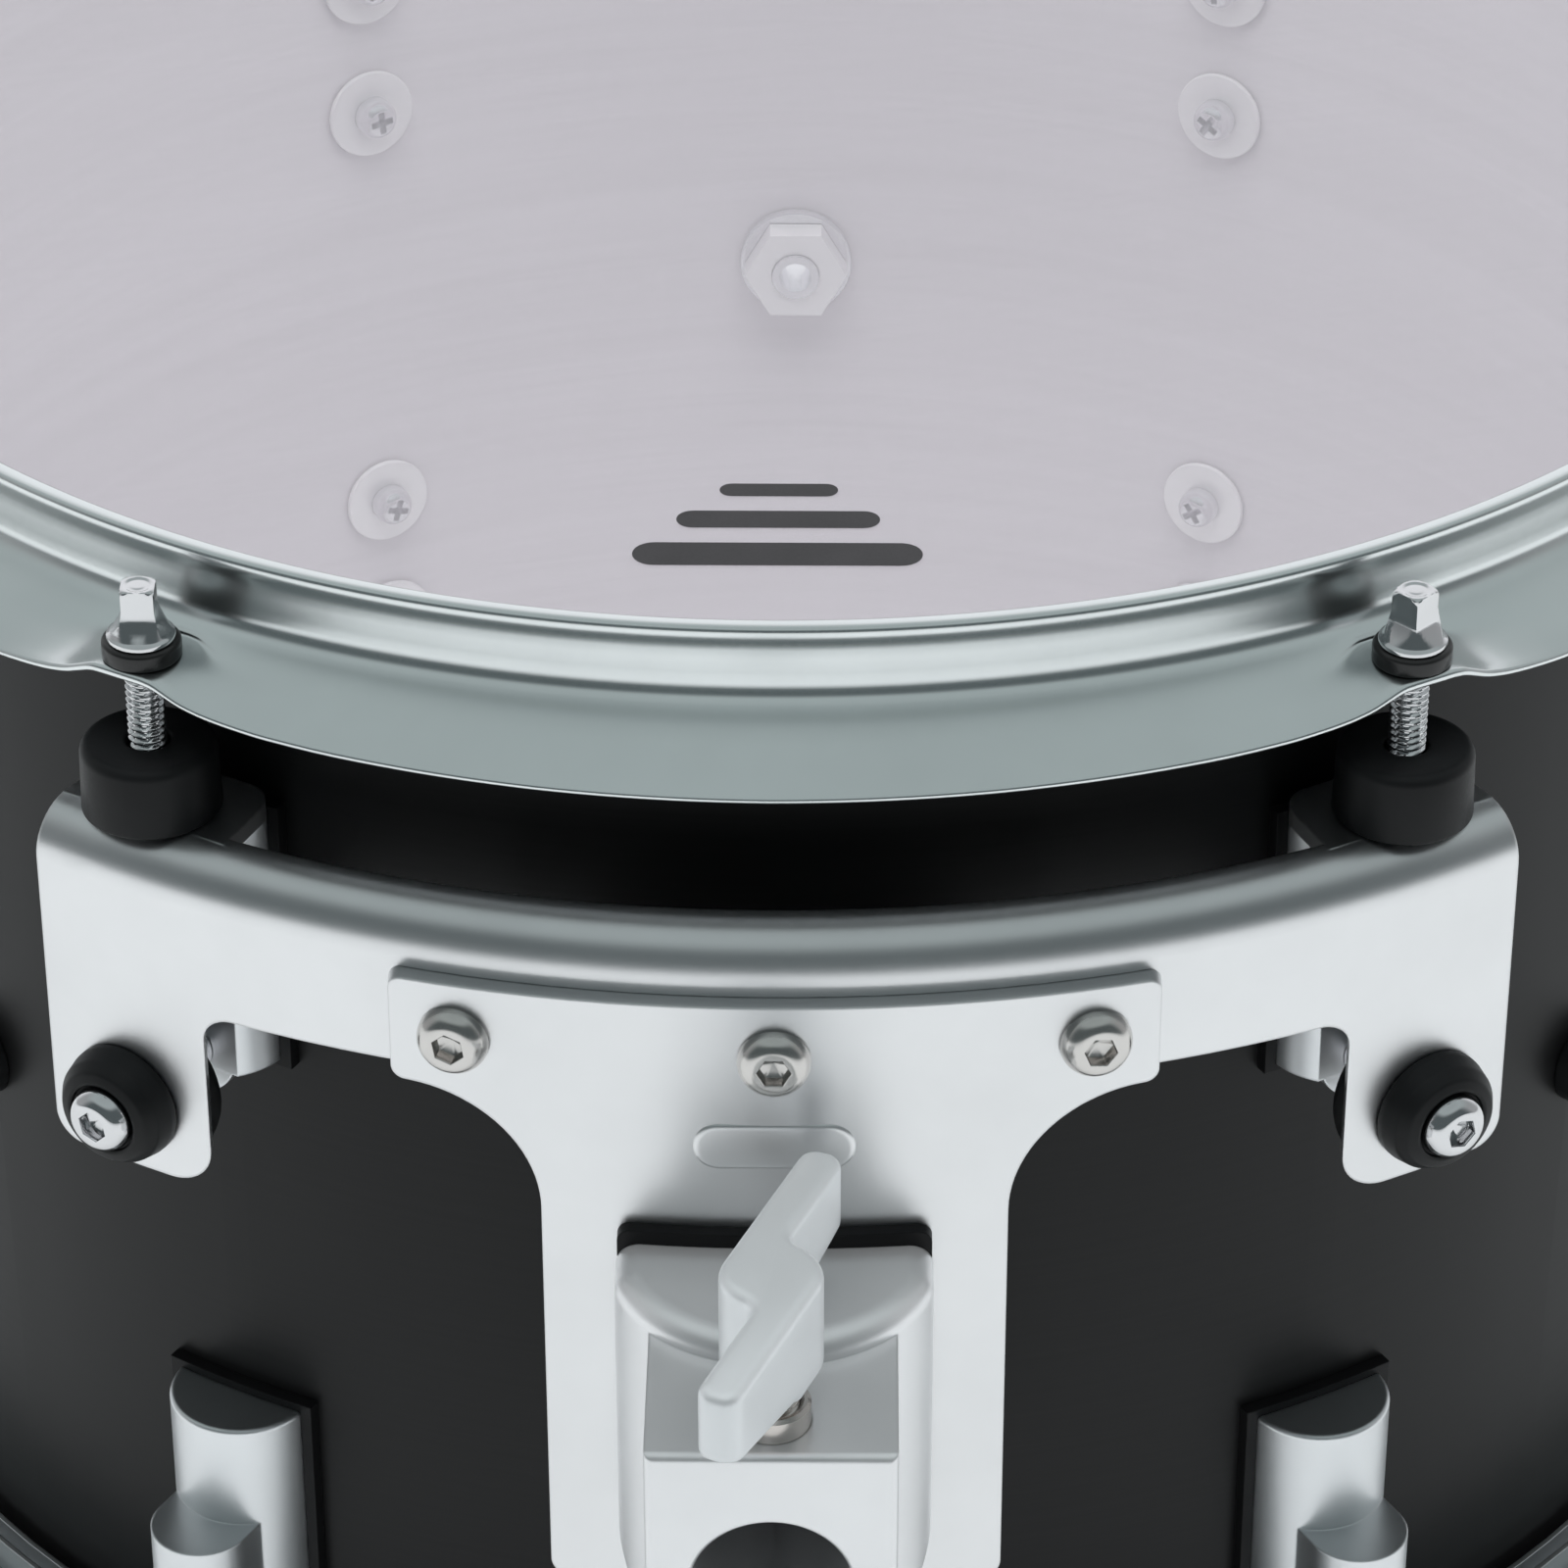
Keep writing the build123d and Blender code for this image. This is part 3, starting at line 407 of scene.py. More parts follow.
def film_material():
    """Clear plastic film with a thin even haze and a few very faint scuffs."""
    m = Mat("clear_coated_film")
    out = m.n["Material Output"]
    rot = m.n.new("ShaderNodeVectorRotate")
    rot.rotation_type = "Z_AXIS"
    rot.inputs["Angle"].default_value = math.radians(-14)
    m.l.new(m.co.outputs["Object"], rot.inputs["Vector"])
    sc = m.n.new("ShaderNodeMapping")
    sc.inputs["Scale"].default_value = (11.0, 300.0, 10.0)
    m.l.new(rot.outputs[0], sc.inputs["Vector"])
    scuff = m.noise(1.0, 7.0, 0.72, sc.outputs["Vector"], 0.4)
    cloud = m.noise(14.0, 4.0, 0.6)
    m.to(m.mix(m.span(cloud, 0.0, 0.5), (0.86, 0.83, 0.87), (0.80, 0.775, 0.81)), "Base Color")
    m.set(Roughness=0.4)
    m.p.inputs["Specular IOR Level"].default_value = 0.3
    m.to(m.bump(scuff, 0.03, 0.00003), "Normal")
    clear = m.n.new("ShaderNodeBsdfTransparent")
    clear.inputs["Color"].default_value = (1, 1, 1, 1)
    mixer = m.n.new("ShaderNodeMixShader")
    m.l.new(m.span(scuff, 0.115, 0.15), mixer.inputs[0])
    m.l.new(clear.outputs[0], mixer.inputs[1])
    m.l.new(m.p.outputs[0], mixer.inputs[2])
    m.l.new(mixer.outputs[0], out.inputs["Surface"])
    return m.m


M_SHELL = shell_material()
M_FILM = film_material()
M_INK = matte_black("printed_ink", (0.02, 0.018, 0.02), 0.5, grain=0.02)

CAD_LOOK = {
    "shell": M_SHELL, "batter_head": M_FILM, "resonant_head": M_FILM,
    "batter_flesh_hoop": M_ALU, "resonant_flesh_hoop": M_ALU,
    "suspension_bracket": M_BRACKET, "mount_plate": M_BRACKET,
    "arm_clamp_casting": M_CAST, "thread_sleeve": M_STUD, "clamp_shoe": M_STUD,
    "upper_lug_gaskets": M_GASKET, "lower_lug_gaskets": M_GASKET, "plate_gasket": M_GASKET,
    "side_vent_rings": M_RUBBER, "side_vents": M_CHROME, "badge": M_BADGE,
    "lug_inserts": M_BRASS, "plate_nuts": M_ZINC, "casting_screws": M_ZINC, "leg_bolt_spacers": M_ZINC,
    "vent_tube": M_INNER, "vent_nut": M_WASH, "vent_lock_washer": M_INNER,
    "lug_screws": M_ZINC, "lug_screw_washers": M_ZINC,
    "batter_hoop": M_HOOP, "resonant_hoop": M_HOOP, "rubber_feet": M_RUBBER, "leg_grommets": M_RUBBER,
    "leg_bolts": M_CHROME, "plate_screws": M_BUTTON, "wing_bolt": M_WING,
    "top_rod_washers": M_NYLON, "bottom_rod_washers": M_NYLON,
}
for i in range(1, 7):
    CAD_LOOK[f"upper_lug_{i}"] = CAD_LOOK[f"lower_lug_{i}"] = M_LUG
    CAD_LOOK[f"top_rod_{i}"] = CAD_LOOK[f"bottom_rod_{i}"] = M_CHROME
for name, ob in NODES.items():
    mat = CAD_LOOK.get(name)
    if mat is None:
        continue
    if not ob.material_slots:
        ob.data.materials.append(mat)
    for s in ob.material_slots:
        s.material = mat


# ------------------------------------------------------------------ hoops with blended ears
def spline_pts(pts, n):
    """Centripetal Catmull-Rom through 2-D points."""
    p = [Vector(q) for q in pts]
    p = [p[0] * 2 - p[1]] + p + [p[-1] * 2 - p[-2]]
    out = []
    for i in range(1, len(p) - 2):
        for k in range(n):
            t = k / n
            a, b, c, d = p[i - 1], p[i], p[i + 1], p[i + 2]
            out.append(tuple(0.5 * ((2 * b) + (c - a) * t + (2 * a - 5 * b + 4 * c - d) * t * t
                                    + (3 * b - a - 3 * c + d) * t * t * t)))
    out.append(tuple(p[-2]))
    return out


EAR_Z = -7.62
# height of the skirt's lower edge at each distance from an ear's centre, degrees
EDGE = [(0, -8.0), (1.5, -8.05), (2, -8.8), (3, -10.4), (4, -11.25), (5, -11.75), (6, -12.1), (7, -12.4), (10, -12.8),
        (15, -13.1), (20, -13.35), (30, -13.6)]


def ear_weight(d):
    """1 on an ear, falling to 0 at mid-span."""
    for (d0, z0), (d1, z1) in zip(EDGE, EDGE[1:]):
        if d <= d1:
            return (z0 + (z1 - z0) * (d - d0) / (d1 - d0) + 13.6) / 5.6
    return 0.0


def hoop_section(w):
    """Closed (r, z) section of the pressed hoop; w is 0 on the skirt and 1 on an ear."""
    def mixp(a, b):
        return [((1 - w) * p[0] + w * q[0], (1 - w) * p[1] + w * q[1]) for p, q in zip(a, b)]

    # outer side of the skirt from the ledge to the edge
    skirt = spline_pts([(170.2, -6.65), (173.4, -7.85), (176.6, -9.1), (179.8, -10.8), (182.4, -12.65)], 4)[: 17]
    ear = spline_pts([(169.7, -6.5), (170.25, -6.95), (171.1, -7.45), (176.0, EAR_Z), (182.1, EAR_Z)], 4)[: 17]
    top = mixp(skirt, ear)
    edge = mixp([(182.62, -12.8), (182.72, -13.1), (182.6, -13.4), (182.2, -13.6)],
                [(182.6, -7.72), (182.85, -8.05), (182.85, -8.5), (182.5, -8.95)])
    under_s = spline_pts([(181.3, -13.3), (178.5, -12.0), (175.4, -10.6), (171.8, -9.2), (169.9, -8.4)], 4)[: 17]
    under_e = [(182.0 - (182.0 - 169.9) * i / 16, -9.15) for i in range(17)]
    under = mixp(under_s, under_e)
    wall = [(169.2, -7.25), (165.5, -7.25), (165.05, -6.8), (165.0, -3.0), (165.0, 1.0), (165.0, 3.6),
            (165.06, 4.9), (165.3, 5.35), (165.7, 5.49), (166.6, 5.5), (167.4, 5.47), (167.8, 5.3), (168.0, 4.9),
            (168.02, 4.4), (167.92, 3.8), (167.74, 3.2), (167.56, 2.6), (167.42, 1.7), (167.34, 0.3), (167.3, -2.0),
            (167.3, -3.4), (167.42, -4.3), (167.75, -5.1), (168.35, -5.75), (169.1, -6.2)]
    return wall + top + edge + under


def hoop(name, node, low):
    grid = set()
    for a in LUGS:
        t = -30.0
        while t < 30.0 - 1e-9:
            grid.add(round((a + t) % 360, 4))
            d = abs(t)
            t = round(t + (0.2 if 1.5 < d < 8.5 else (0.5 if d <= 1.5 else 1.0)), 4)
    angles = sorted(grid)
    sections = []
    for a in angles:
        d = min(abs((a - l + 180) % 360 - 180) for l in LUGS)
        w = sum(ear_weight(max(0.0, d + o)) for o in (-0.3, -0.15, 0.0, 0.15, 0.3)) / 5
        sections.append(hoop_section(w))
    n = len(sections[0])
    verts, faces = [], []
    for a, sec in zip(angles, sections):
        sa, ca = math.sin(math.radians(a)), math.cos(math.radians(a))
        for r, z in sec:
            verts.append((r * sa, -r * ca, 2 * MID - z if low else z))
    m = len(sections)
    for j in range(m):
        j2 = (j + 1) % m
        for k in range(n):
            k2 = (k + 1) % n
            f = (j * n + k, j * n + k2, j2 * n + k2, j2 * n + k)
            faces.append(f if low else tuple(reversed(f)))
    ob = make(name, verts, faces, M_HOOP, nodes=[node], sharp=50)
    # marks the skirt's underside (the last points of each section) for the painted shade in the hoop material
    inner = ob.data.attributes.new("underside_painted_shade", "FLOAT", "POINT")
    inner.data.foreach_set("value", [1.0 if k >= n - 16 else 0.0 for _ in range(m) for k in range(n)])
    return ob


hoop("batter_hoop_pressed", "batter_hoop", False)
hoop("resonant_hoop_pressed", "resonant_hoop", True)


# ------------------------------------------------------------------ tension rods: key heads and rolled threads
def thread_rows(r_out, depth, pitch, z_top, z_bot, seg, per=8):
    """Rows of points, from the bottom up, of a rolled thread."""
    rows = []
    n = int(round((z_top - z_bot) / pitch * per))
    for i in range(n + 1):
        z = z_bot + (z_top - z_bot) * i / n
        fade = min(1.0, (z - z_bot) / (1.2 * pitch), (z_top - z) / (0.8 * pitch) + 0.05)
        row = []
        for k in range(seg):
            ph = (z / pitch - k / seg) % 1.0
            h = abs(ph * 2 - 1)                       # 0 at the crest, 1 at the root
            prof = smooth((h - 0.12) / 0.76)
            r = r_out - depth * (prof * fade + (1 - fade))
            row.append((r * math.cos(2 * math.pi * k / seg), r * math.sin(2 * math.pi * k / seg), z))
        rows.append(row)
    return rows


def rod_mesh():
    seg = 40
    rows = []
    ring = lambda r, z: [(r * math.cos(2 * math.pi * k / seg), r * math.sin(2 * math.pi * k / seg), z) for k in range(seg)]
    # plain lower end inside the lug
    rows += [ring(1.6, -46.85), ring(2.2, -46.5), ring(2.3, -42.5)]
    rows += thread_rows(2.74, 0.46, 1.06, -6.6, -42.0, seg, 7)
    rows += [ring(2.55, -6.4), ring(2.55, -4.98)]
    # flange, cone and square key top
    prof = [(4.2, -4.88), (4.72, -4.84), (4.88, -4.66), (4.9, -4.32), (4.84, -4.1), (4.66, -3.96), (4.46, -3.88),
            (4.28, -3.66), (4.1, -3.2), (3.95, -2.7), (3.8, -2.2), (3.66, -1.6), (3.52, -1.0), (3.4, -0.5), (3.3, 0.0)]
    top = HEAD_TOP
    z = 0.45
    while z < top - 0.9:
        prof.append((3.25, z))
        z += 0.45
    prof += [(3.24, top - 0.8), (3.2, top - 0.5), (3.04, top - 0.22), (2.78, top - 0.06), (2.4, top), (2.0, top),
             (1.75, top - 0.12), (1.5, top - 0.17), (1.1, top - 0.06), (0.6, top - 0.03)]
    for r, z in prof:
        row = []
        for q in range(seg):
            th = 2 * math.pi * q / seg
            loc = (th + math.pi / 4) % (math.pi / 2) - math.pi / 4
            flat = (2.4 + 0.155 * max(0.0, -0.2 - z) ** 2) / math.cos(loc)
            rr = min(r, flat) if z > -3.6 else r
            row.append((rr * math.cos(th), rr * math.sin(th), z))
        rows.append(row)
    return loft(rows)


HEAD_TOP = 3.5
KEY_TURN = [0, 45, 20, 68, 33, 8]
rod_v, rod_f = rod_mesh()
for i, a in enumerate(LUGS):
    for low in (False, True):
        t = math.radians(KEY_TURN[i])
        s_, c_ = ROD_R * math.sin(math.radians(a)), -ROD_R * math.cos(math.radians(a))
        place = Matrix.Translation((s_, c_, 0)) @ Matrix.Rotation(t, 4, "Z")
        if low:
            place = Matrix.Translation((s_, c_, 2 * MID)) @ Matrix.Rotation(-t, 4, "Z") @ Matrix.Rotation(math.pi, 4, "X")
        part = Mesh()
        part.add(rod_v, rod_f, place)
        node = f"{'bottom' if low else 'top'}_rod_{i + 1}"
        make(node + "_threaded", part.v, part.f, M_CHROME, body=node, nodes=[node], sharp=36)

# nylon washers
for low in (False, True):
    ring = revolve(rounded([(2.9, -7.6), (5.65, -7.6), (5.65, -4.9), (2.9, -4.9)], [0.2, 0.4, 0.6, 0.25]), 48, True)
    part = Mesh()
    for a in LUGS:
        place = around(a, n=ROD_R)
        if low:
            place = FLIP @ around(-a, n=-ROD_R)
        part.add(*ring, place)
    make("nylon_washers_" + ("low" if low else "top"), part.v, part.f, M_NYLON,
         nodes=["bottom_rod_washers" if low else "top_rod_washers"], sharp=60)

# ------------------------------------------------------------------ button-head screws with a hexagon socket
def button(base, r_head, height, af, shank_r, tip, seg=60):
    """Rings from the shank's tip out to the socket floor; base is where the head sits."""
    ring = lambda r, z: [(r * math.cos(2 * math.pi * k / seg), r * math.sin(2 * math.pi * k / seg), z) for k in range(seg)]

    def hexring(r, z, mixing=1.0):
        out = []
        for k in range(seg):
            th = 2 * math.pi * k / seg
            loc = (th + math.pi / 6) % (math.pi / 3) - math.pi / 6
            rr = (1 - mixing) * r + mixing * (r * 0.5 / math.cos(loc) * 2)
            out.append((rr * math.cos(th), rr * math.sin(th), z))
        return out

    rows = [ring(shank_r - 0.6, tip), ring(shank_r - 0.1, tip + 0.5), ring(shank_r - 0.02, base - 0.02), ring(r_head - 0.55, base)]
    top = base + height
    # dome from the rim to the flat around the socket
    for t in (0.0, 0.05, 0.12, 0.2, 0.3, 0.4, 0.5, 0.6, 0.7, 0.8, 0.88, 0.95, 1.0):
        a = math.radians(4 + 82 * t)
        rr = 2.75 + (r_head - 2.75) * math.cos(a)
        rows.append(ring(rr, base + 0.14 + (height - 0.14) * math.sin(a)))
    rows += [ring(2.62, top), hexring(af / 2 + 0.14, top - 0.04, 1.0), hexring(af / 2, top - 0.28), hexring(af / 2, top - 2.0),
             hexring(af / 2 * 0.8, top - 2.15), ring(0.3, top - 2.55)]
    return loft(rows)


sc = Mesh()
for a in (-13.5, 0, 13.5):
    sc.add(*button(PLATE_R + 0.04, 5.2, 3.15, 4.0, 2.95, 176.6), outward(a, 0, SCREW_Z, {-13.5: 10, 0: 30, 13.5: 22}[a]))
make("plate_button_screws", sc.v, sc.f, M_BUTTON, nodes=["plate_screws"], sharp=32)
sc = Mesh()
for a in (-30, 30):
    sc.add(*button(193.42, 4.98, 3.1, 4.0, 2.93, 167.85), outward(a, 0, LEG_Z, 14))
make("leg_button_bolts", sc.v, sc.f, M_CHROME, nodes=["leg_bolts"], sharp=32)

# ------------------------------------------------------------------ rubber feet and leg grommets
foot = revolve(rounded([(3.12, -32.46), (10.05, -32.46), (9.75, -21.62), (3.12, -21.62)], [0.2, 0.5, 1.6, 0.5], 6), 64, True)
neck = revolve(rounded([(3.12, -35.35), (4.88, -35.35), (4.88, -32.3), (3.12, -32.3)], 0.2, 3), 48, True)
part = Mesh()
for a in (-30, 30):
    part.add(*foot, around(a, n=ROD_R))
    part.add(*neck, around(a, n=ROD_R))
make("rubber_feet_moulded", part.v, part.f, M_RUBBER, nodes=["rubber_feet"], sharp=50)
grom = revolve(rounded([(4.12, 180.92), (11.9, 180.92), (12.55, 182.4), (12.5, 184.68), (6.88, 184.68), (6.88, 188.05), (9.08, 188.05),
                        (9.05, 189.3), (8.5, 191.9), (7.3, 193.6), (5.9, 194.05), (5.42, 193.95), (5.42, 193.32), (4.12, 193.32)],
                       [0.2, 0.8, 0.6, 0.3, 0.2, 0.2, 0.4, 0.9, 1.4, 1.0, 0.4, 0.2, 0.2, 0.1], 5), 64, True)
part = Mesh()
for a in (-30, 30):
    part.add(*grom, outward(a, 0, LEG_Z))
make("leg_grommets_moulded", part.v, part.f, M_RUBBER, nodes=["leg_grommets"], sharp=50)


# ------------------------------------------------------------------ cross-recess pan heads inside the shell
def pan_head(seg=48):
    ring = lambda r, z: [(r * math.cos(2 * math.pi * k / seg), r * math.sin(2 * math.pi * k / seg), z) for k in range(seg)]

    def cross(arm, half, z):
        out = []
        for k in range(seg):
            th = 2 * math.pi * k / seg
            loc = (th + math.pi / 4) % (math.pi / 2) - math.pi / 4
            rr = min(arm / max(math.cos(loc), 0.01), half / max(abs(math.sin(loc)), 1e-6))
            rr = max(rr, half * 1.2)
            out.append((rr * math.cos(th), rr * math.sin(th), z))
        return out

    rows = [ring(1.6, -15.2), ring(1.98, -14.8), ring(1.98, -0.02), ring(3.6, 0.0), ring(3.74, 0.25), ring(3.74, 1.5),
            ring(3.66, 2.3), ring(3.4, 3.1), ring(3.0, 3.7), ring(2.6, 4.05), ring(2.35, 4.2),
            cross(2.15, 0.62, 4.2), cross(2.0, 0.55, 3.5), cross(1.4, 0.42, 2.4), cross(0.6, 0.35, 1.8)]
    return loft(rows)


head_v, head_f = pan_head()
pw = revolve(rounded([(2.25, 0.0), (8.36, 0.0), (8.36, 1.15), (2.25, 1.15)], [0.1, 0.25, 0.3, 0.1], 3), 48, True)
heads, rings = Mesh(), Mesh()
for i, a in enumerate(LUGS):
    for v in (41.2, 68.0):
        for s in (1, -1):
            m = Matrix.Rotation(math.radians(a), 4, "Z") @ Matrix.Translation((0, -156.2, MID + s * v)) @ Matrix.Rotation(math.radians(-90), 4, "X")
            spin = Matrix.Rotation(math.radians((i * 37 + v * 5 + s * 11) % 90), 4, "Z")
            heads.add(head_v, head_f, m @ spin)
            rings.add(*pw, m @ Matrix.Translation((0, 0, -1.2)))
make("pan_head_screws", heads.v, heads.f, M_INNER, nodes=["lug_screws"], sharp=34)
make("pan_head_washers", rings.v, rings.f, M_WASH, nodes=["lug_screw_washers"], sharp=50)

# ------------------------------------------------------------------ wing bolt
def offset_ring(pts, d):
    """Moves a closed anticlockwise outline inwards by d."""
    n = len(pts)
    out = []
    for k in range(n):
        a, b = Vector(pts[k - 1]), Vector(pts[(k + 1) % n])
        t = (b - a)
        t.normalize()
        out.append((pts[k][0] - t.y * d, pts[k][1] + t.x * d))
    return out


def wing_outline():
    """Plan of the hub and its two offset blades, anticlockwise."""
    hub, off, half, ln = 7.1, 4.0, 3.1, 28.2
    inner = off - half
    root = math.sqrt((hub + 3.0) ** 2 - (inner - 3.0) ** 2)
    pts = []
    for turn in (0, 1):
        side = []
        # hub arc down to the blend with the blade's inner face
        c = (inner - 3.0, -root)
        start = math.degrees(math.atan2(-root, inner - 3.0))
        side += arc_pts((0, 0), hub, 180, 360 + start, 16)[:-1]
        a0 = math.degrees(math.atan2(root, -(inner - 3.0)))
        side += arc_pts(c, 3.0, a0, 0, 10)[:-1]
        # blade: down the inner face, round the tip, back up the outer face
        y0, y1 = -root, -(ln - 2.6)
        side += [(inner, y0 + (y1 - y0) * q / 14) for q in range(14)]
        side += arc_pts((inner + 2.6, y1), 2.6, 180, 270, 7)
        side += arc_pts((off + half - 2.6, y1), 2.6, 270, 360, 7)
        side += [(off + half, y1 + (0 - y1) * q / 22) for q in range(1, 22)]
        pts += side if turn == 0 else [(-x, -y) for x, y in side]
    return pts


plan = wing_outline()
T, LOWZ = -59.32, -75.3


def foot_z(y):
    y = abs(y)
    return -75.2 if y < 7.0 else -74.4 + (y - 7.0) * (4.0 / 21.2)


def blend_foot(y):
    return sum(foot_z(abs(y) + o) for o in (-1.0, -0.5, 0.0, 0.5, 1.0)) / 5


rings_ = []
for inset, up in ((1.1, 0.0), (0.6, 0.12), (0.25, 0.4), (0.06, 0.8), (0.0, 1.3)):
    rings_.append([(x, y, blend_foot(py) + up) for (x, y), (px, py) in zip(offset_ring(plan, inset), plan)])
for q in (0.2, 0.4, 0.6, 0.8):
    rings_.append([(x, y, (blend_foot(y) + 1.3) * (1 - q) + (T - 1.7) * q) for x, y in plan])
for inset, down in ((0.0, 1.7), (0.05, 1.25), (0.2, 0.82), (0.46, 0.46), (0.82, 0.2), (1.25, 0.05), (1.7, 0.0)):
    rings_.append([(x, y, T - down) for x, y in offset_ring(plan, inset)])
wb = Mesh()
spin = Matrix.Translation((0, CLAMP_Y, 0)) @ Matrix.Rotation(math.radians(-22.8), 4, "Z")
wb.add(*loft(rings_), spin)
make("wing_bolt_cast", wb.v, wb.f, M_WING, body="wing_bolt", nodes=["wing_bolt"], sharp=50)
seg = 48
ring = lambda r, z: [(r * math.cos(2 * math.pi * k / seg), r * math.sin(2 * math.pi * k / seg), z) for k in range(seg)]
rows = [ring(2.1, -93.38), ring(2.45, -93.0), ring(2.45, -90.6), ring(3.4, -90.4)]
rows += thread_rows(3.93, 0.68, 1.25, -77.0, -90.2, seg, 10)
rows += [ring(3.5, -76.8), ring(4.6, -76.6), ring(5.9, -75.8), ring(6.6, -75.0), ring(5.0, -74.0)]
st = Mesh()
st.add(*loft(rows), spin)
make("wing_bolt_stud", st.v, st.f, M_STUD, body="wing_bolt", sharp=48)

# plain raised pill on the mount plate
def on_plate(x, z, n):
    a = x / PLATE_R
    return (n * math.sin(a), -n * math.cos(a), z)


outline = rounded([(-11.4, -68.8), (11.4, -68.8), (11.4, -61.2), (-11.4, -61.2)], 3.7, 10)
rings_ = []
for inset, n in ((0.0, PLATE_R - 0.25), (0.0, PLATE_R + 0.04), (0.18, PLATE_R + 0.2), (0.5, PLATE_R + 0.3), (0.9, PLATE_R + 0.34)):
    rings_.append([on_plate(x, z, n) for x, z in offset_ring(outline, inset)])
pill = Mesh()
pill.add(*loft(rings_))
make("plate_pill", pill.v, pill.f, M_BRACKET, sharp=50)

# ------------------------------------------------------------------ generic bar ornament printed on the head
def bar(x0, x1, y0, y1, z0, z1, r, n=6):
    pts = rounded([(x0, y0), (x1, y0), (x1, y1), (x0, y1)], r, n)
    return loft([[(x, y, z0) for x, y in pts], [(x, y, z1) for x, y in pts]])


ink = Mesh()
for x0, x1, y0, y1 in ((-20.5, 20.5, -141.5, -135.2), (-14.5, 14.5, -131.0, -126.2), (-8.5, 8.5, -122.0, -118.4)):
    ink.add(*bar(x0, x1, y0, y1, 0.004, 0.035, (y1 - y0) * 0.49))
make("printed_bars", ink.v, ink.f, M_INK, sharp=30)

# ------------------------------------------------------------------ stage, light, camera
floor_z = cad_box[0][2] * 1000 if hasattr(cad_box[0], "__len__") else -221.0


def plane(name, size, z, mat):
    me = bpy.data.meshes.new(name)
    s = size / 2
    me.from_pydata([(-s, -s, z), (s, -s, z), (s, s, z), (-s, s, z)], [], [(0, 1, 2, 3)])
    ob = bpy.data.objects.new(name, me)
    bpy.context.scene.collection.objects.link(ob)
    me.materials.append(mat)
    return ob


fm = Mat("studio_floor")
fm.to(fm.ramp(fm.noise(3.0), [(0.3, (0.80, 0.81, 0.82)), (0.7, (0.84, 0.845, 0.85))]), "Base Color")
fm.set(Roughness=0.7)
fm.p.inputs["Emission Color"].default_value = (0.97, 0.985, 1.0, 1)
fm.p.inputs["Emission Strength"].default_value = 0.10
floor = plane("studio_floor", 12.0, floor_z * MM, fm.m)

world = bpy.data.worlds.new("studio")
bpy.context.scene.world = world
world.use_nodes = True
wt = world.node_tree
bg = wt.nodes["Background"]
wco = wt.nodes.new("ShaderNodeTexCoord")
wsep = wt.nodes.new("ShaderNodeSeparateXYZ")
wt.links.new(wco.outputs["Generated"], wsep.inputs[0])


def wramp(socket, stops):
    r = wt.nodes.new("ShaderNodeValToRGB")
    e = r.color_ramp.elements
    while len(e) > 1:
        e.remove(e[0])
    e[0].position, e[0].color = stops[0][0], (*stops[0][1], 1)
    for pos, c in stops[1:]:
        e.new(pos).color = (*c, 1)
    wt.links.new(socket, r.inputs["Fac"])
    return r.outputs["Color"]


def wrange(socket, a, b):
    r = wt.nodes.new("ShaderNodeMapRange")
    r.interpolation_type = "SMOOTHSTEP"
    r.inputs["From Min"].default_value, r.inputs["From Max"].default_value = a, b
    wt.links.new(socket, r.inputs["Value"])
    return r.outputs["Result"]


sky = wramp(wsep.outputs["Z"], [(0.0, (0.40, 0.41, 0.42)), (0.5, (0.36, 0.38, 0.385)), (0.85, (0.405, 0.46, 0.465)), (1.0, (0.38, 0.43, 0.435))])
front_side = wrange(wsep.outputs["Y"], 0.05, -0.45)
below_top = wrange(wsep.outputs["Z"], 0.84, 0.62)
both = wt.nodes.new("ShaderNodeMath")
both.operation = "MULTIPLY"
wt.links.new(front_side, both.inputs[0])
wt.links.new(below_top, both.inputs[1])
wmix = wt.nodes.new("ShaderNodeMix")
wmix.data_type = "RGBA"
wt.links.new(both.outputs[0], wmix.inputs["Factor"])
sockets = [q for q in wmix.inputs if q.type == "RGBA"]
wt.links.new(sky, sockets[0])
sockets[1].default_value = (0.10, 0.12, 0.125, 1)
rear = wrange(wsep.outputs["Y"], 0.45, 0.85)
low = wrange(wsep.outputs["Z"], 0.80, 0.60)
glow = wt.nodes.new("ShaderNodeMath")
glow.operation = "MULTIPLY"
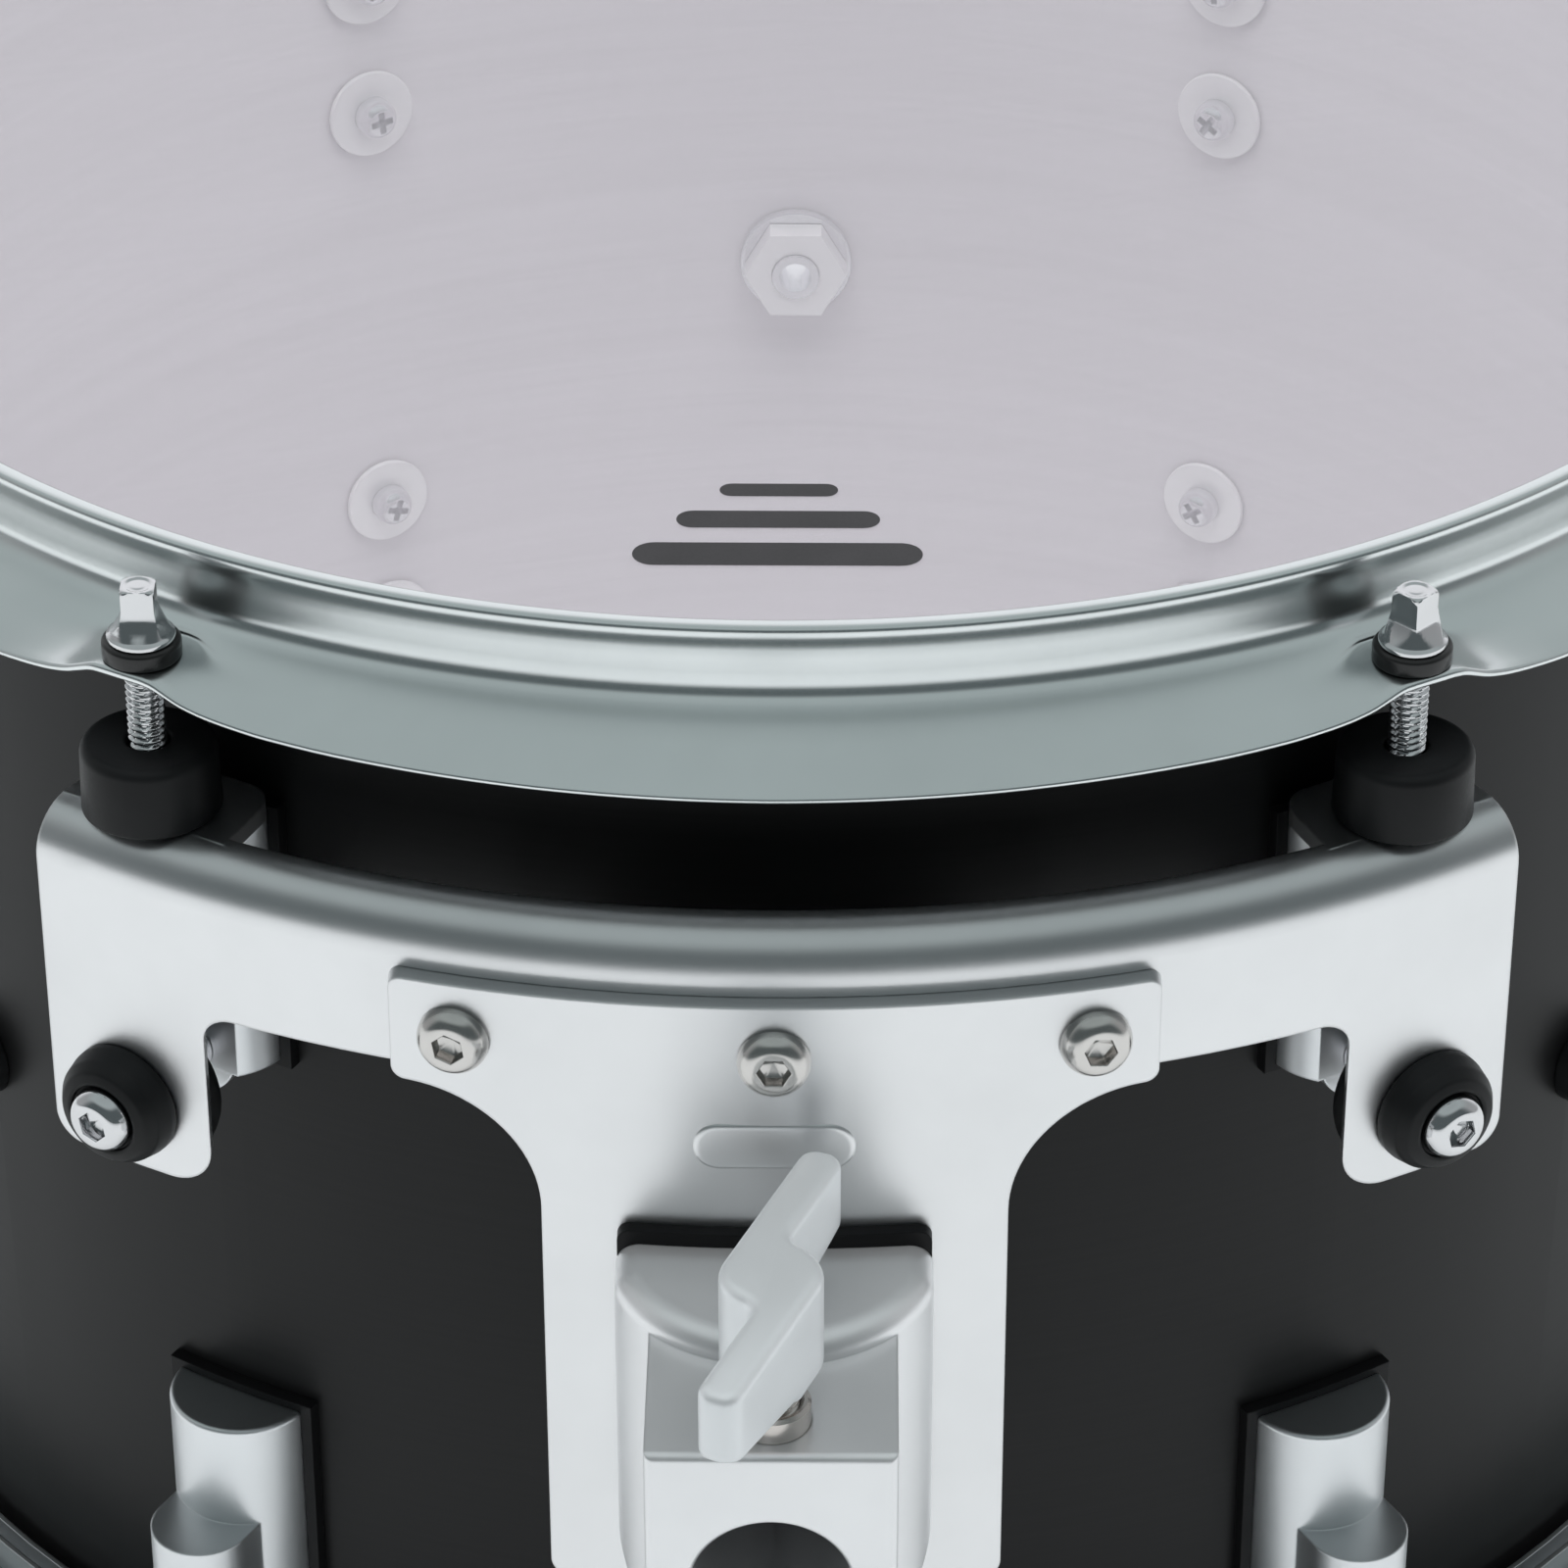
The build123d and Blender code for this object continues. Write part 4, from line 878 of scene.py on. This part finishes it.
wt.links.new(rear, glow.inputs[0])
wt.links.new(low, glow.inputs[1])
wglow = wt.nodes.new("ShaderNodeMix")
wglow.data_type = "RGBA"
wt.links.new(glow.outputs[0], wglow.inputs["Factor"])
gs = [q for q in wglow.inputs if q.type == "RGBA"]
wt.links.new([q for q in wmix.outputs if q.type == "RGBA"][0], gs[0])
gs[1].default_value = (0.95, 0.97, 1.0, 1)
wt.links.new([q for q in wglow.outputs if q.type == "RGBA"][0], bg.inputs["Color"])
bg.inputs["Strength"].default_value = 1.0


def area(name, loc, target, size, power, glossy=True, size_y=None, colour=(1, 1, 1)):
    li = bpy.data.lights.new(name, "AREA")
    li.shape = "RECTANGLE"
    li.size, li.size_y = size, size_y or size
    li.energy = power
    li.color = colour
    ob = bpy.data.objects.new(name, li)
    bpy.context.scene.collection.objects.link(ob)
    d = Vector(target) - Vector(loc)
    ob.matrix_world = Matrix.Translation(loc) @ d.to_track_quat("-Z", "Y").to_matrix().to_4x4()
    ob.visible_glossy = glossy
    return ob


area("overhead", (0.0, -0.4, 1.9), (0, -0.2, 0), 1.8, 34.0, glossy=False)
area("side_left", (-1.9, -0.3, 0.5), (0, 0, -0.1), 1.5, 9.0, glossy=False)
area("side_right", (1.9, -0.3, 0.5), (0, 0, -0.1), 1.5, 9.0, glossy=False)

cam_data = bpy.data.cameras.new("camera")
cam_data.lens = 139.093
cam_data.sensor_width = 36.0
cam_data.clip_start, cam_data.clip_end = 0.05, 30.0
cam = bpy.data.objects.new("camera", cam_data)
bpy.context.scene.collection.objects.link(cam)
cam.matrix_world = Matrix(((0.9999462392915246, -0.004160780179162288, 0.009497706830484936, 0.009166664924163484),
                           (0.010244564749674709, 0.537967078118529, -0.8429035957650808, -0.8752446593449082),
                           (-0.0016023170182184066, 0.8429555805431942, 0.5379807820092274, 0.4319026958998677),
                           (0, 0, 0, 1)))
bpy.context.scene.camera = cam
bpy.context.scene.view_settings.view_transform = "Standard"
bpy.context.scene.view_settings.look = "None"

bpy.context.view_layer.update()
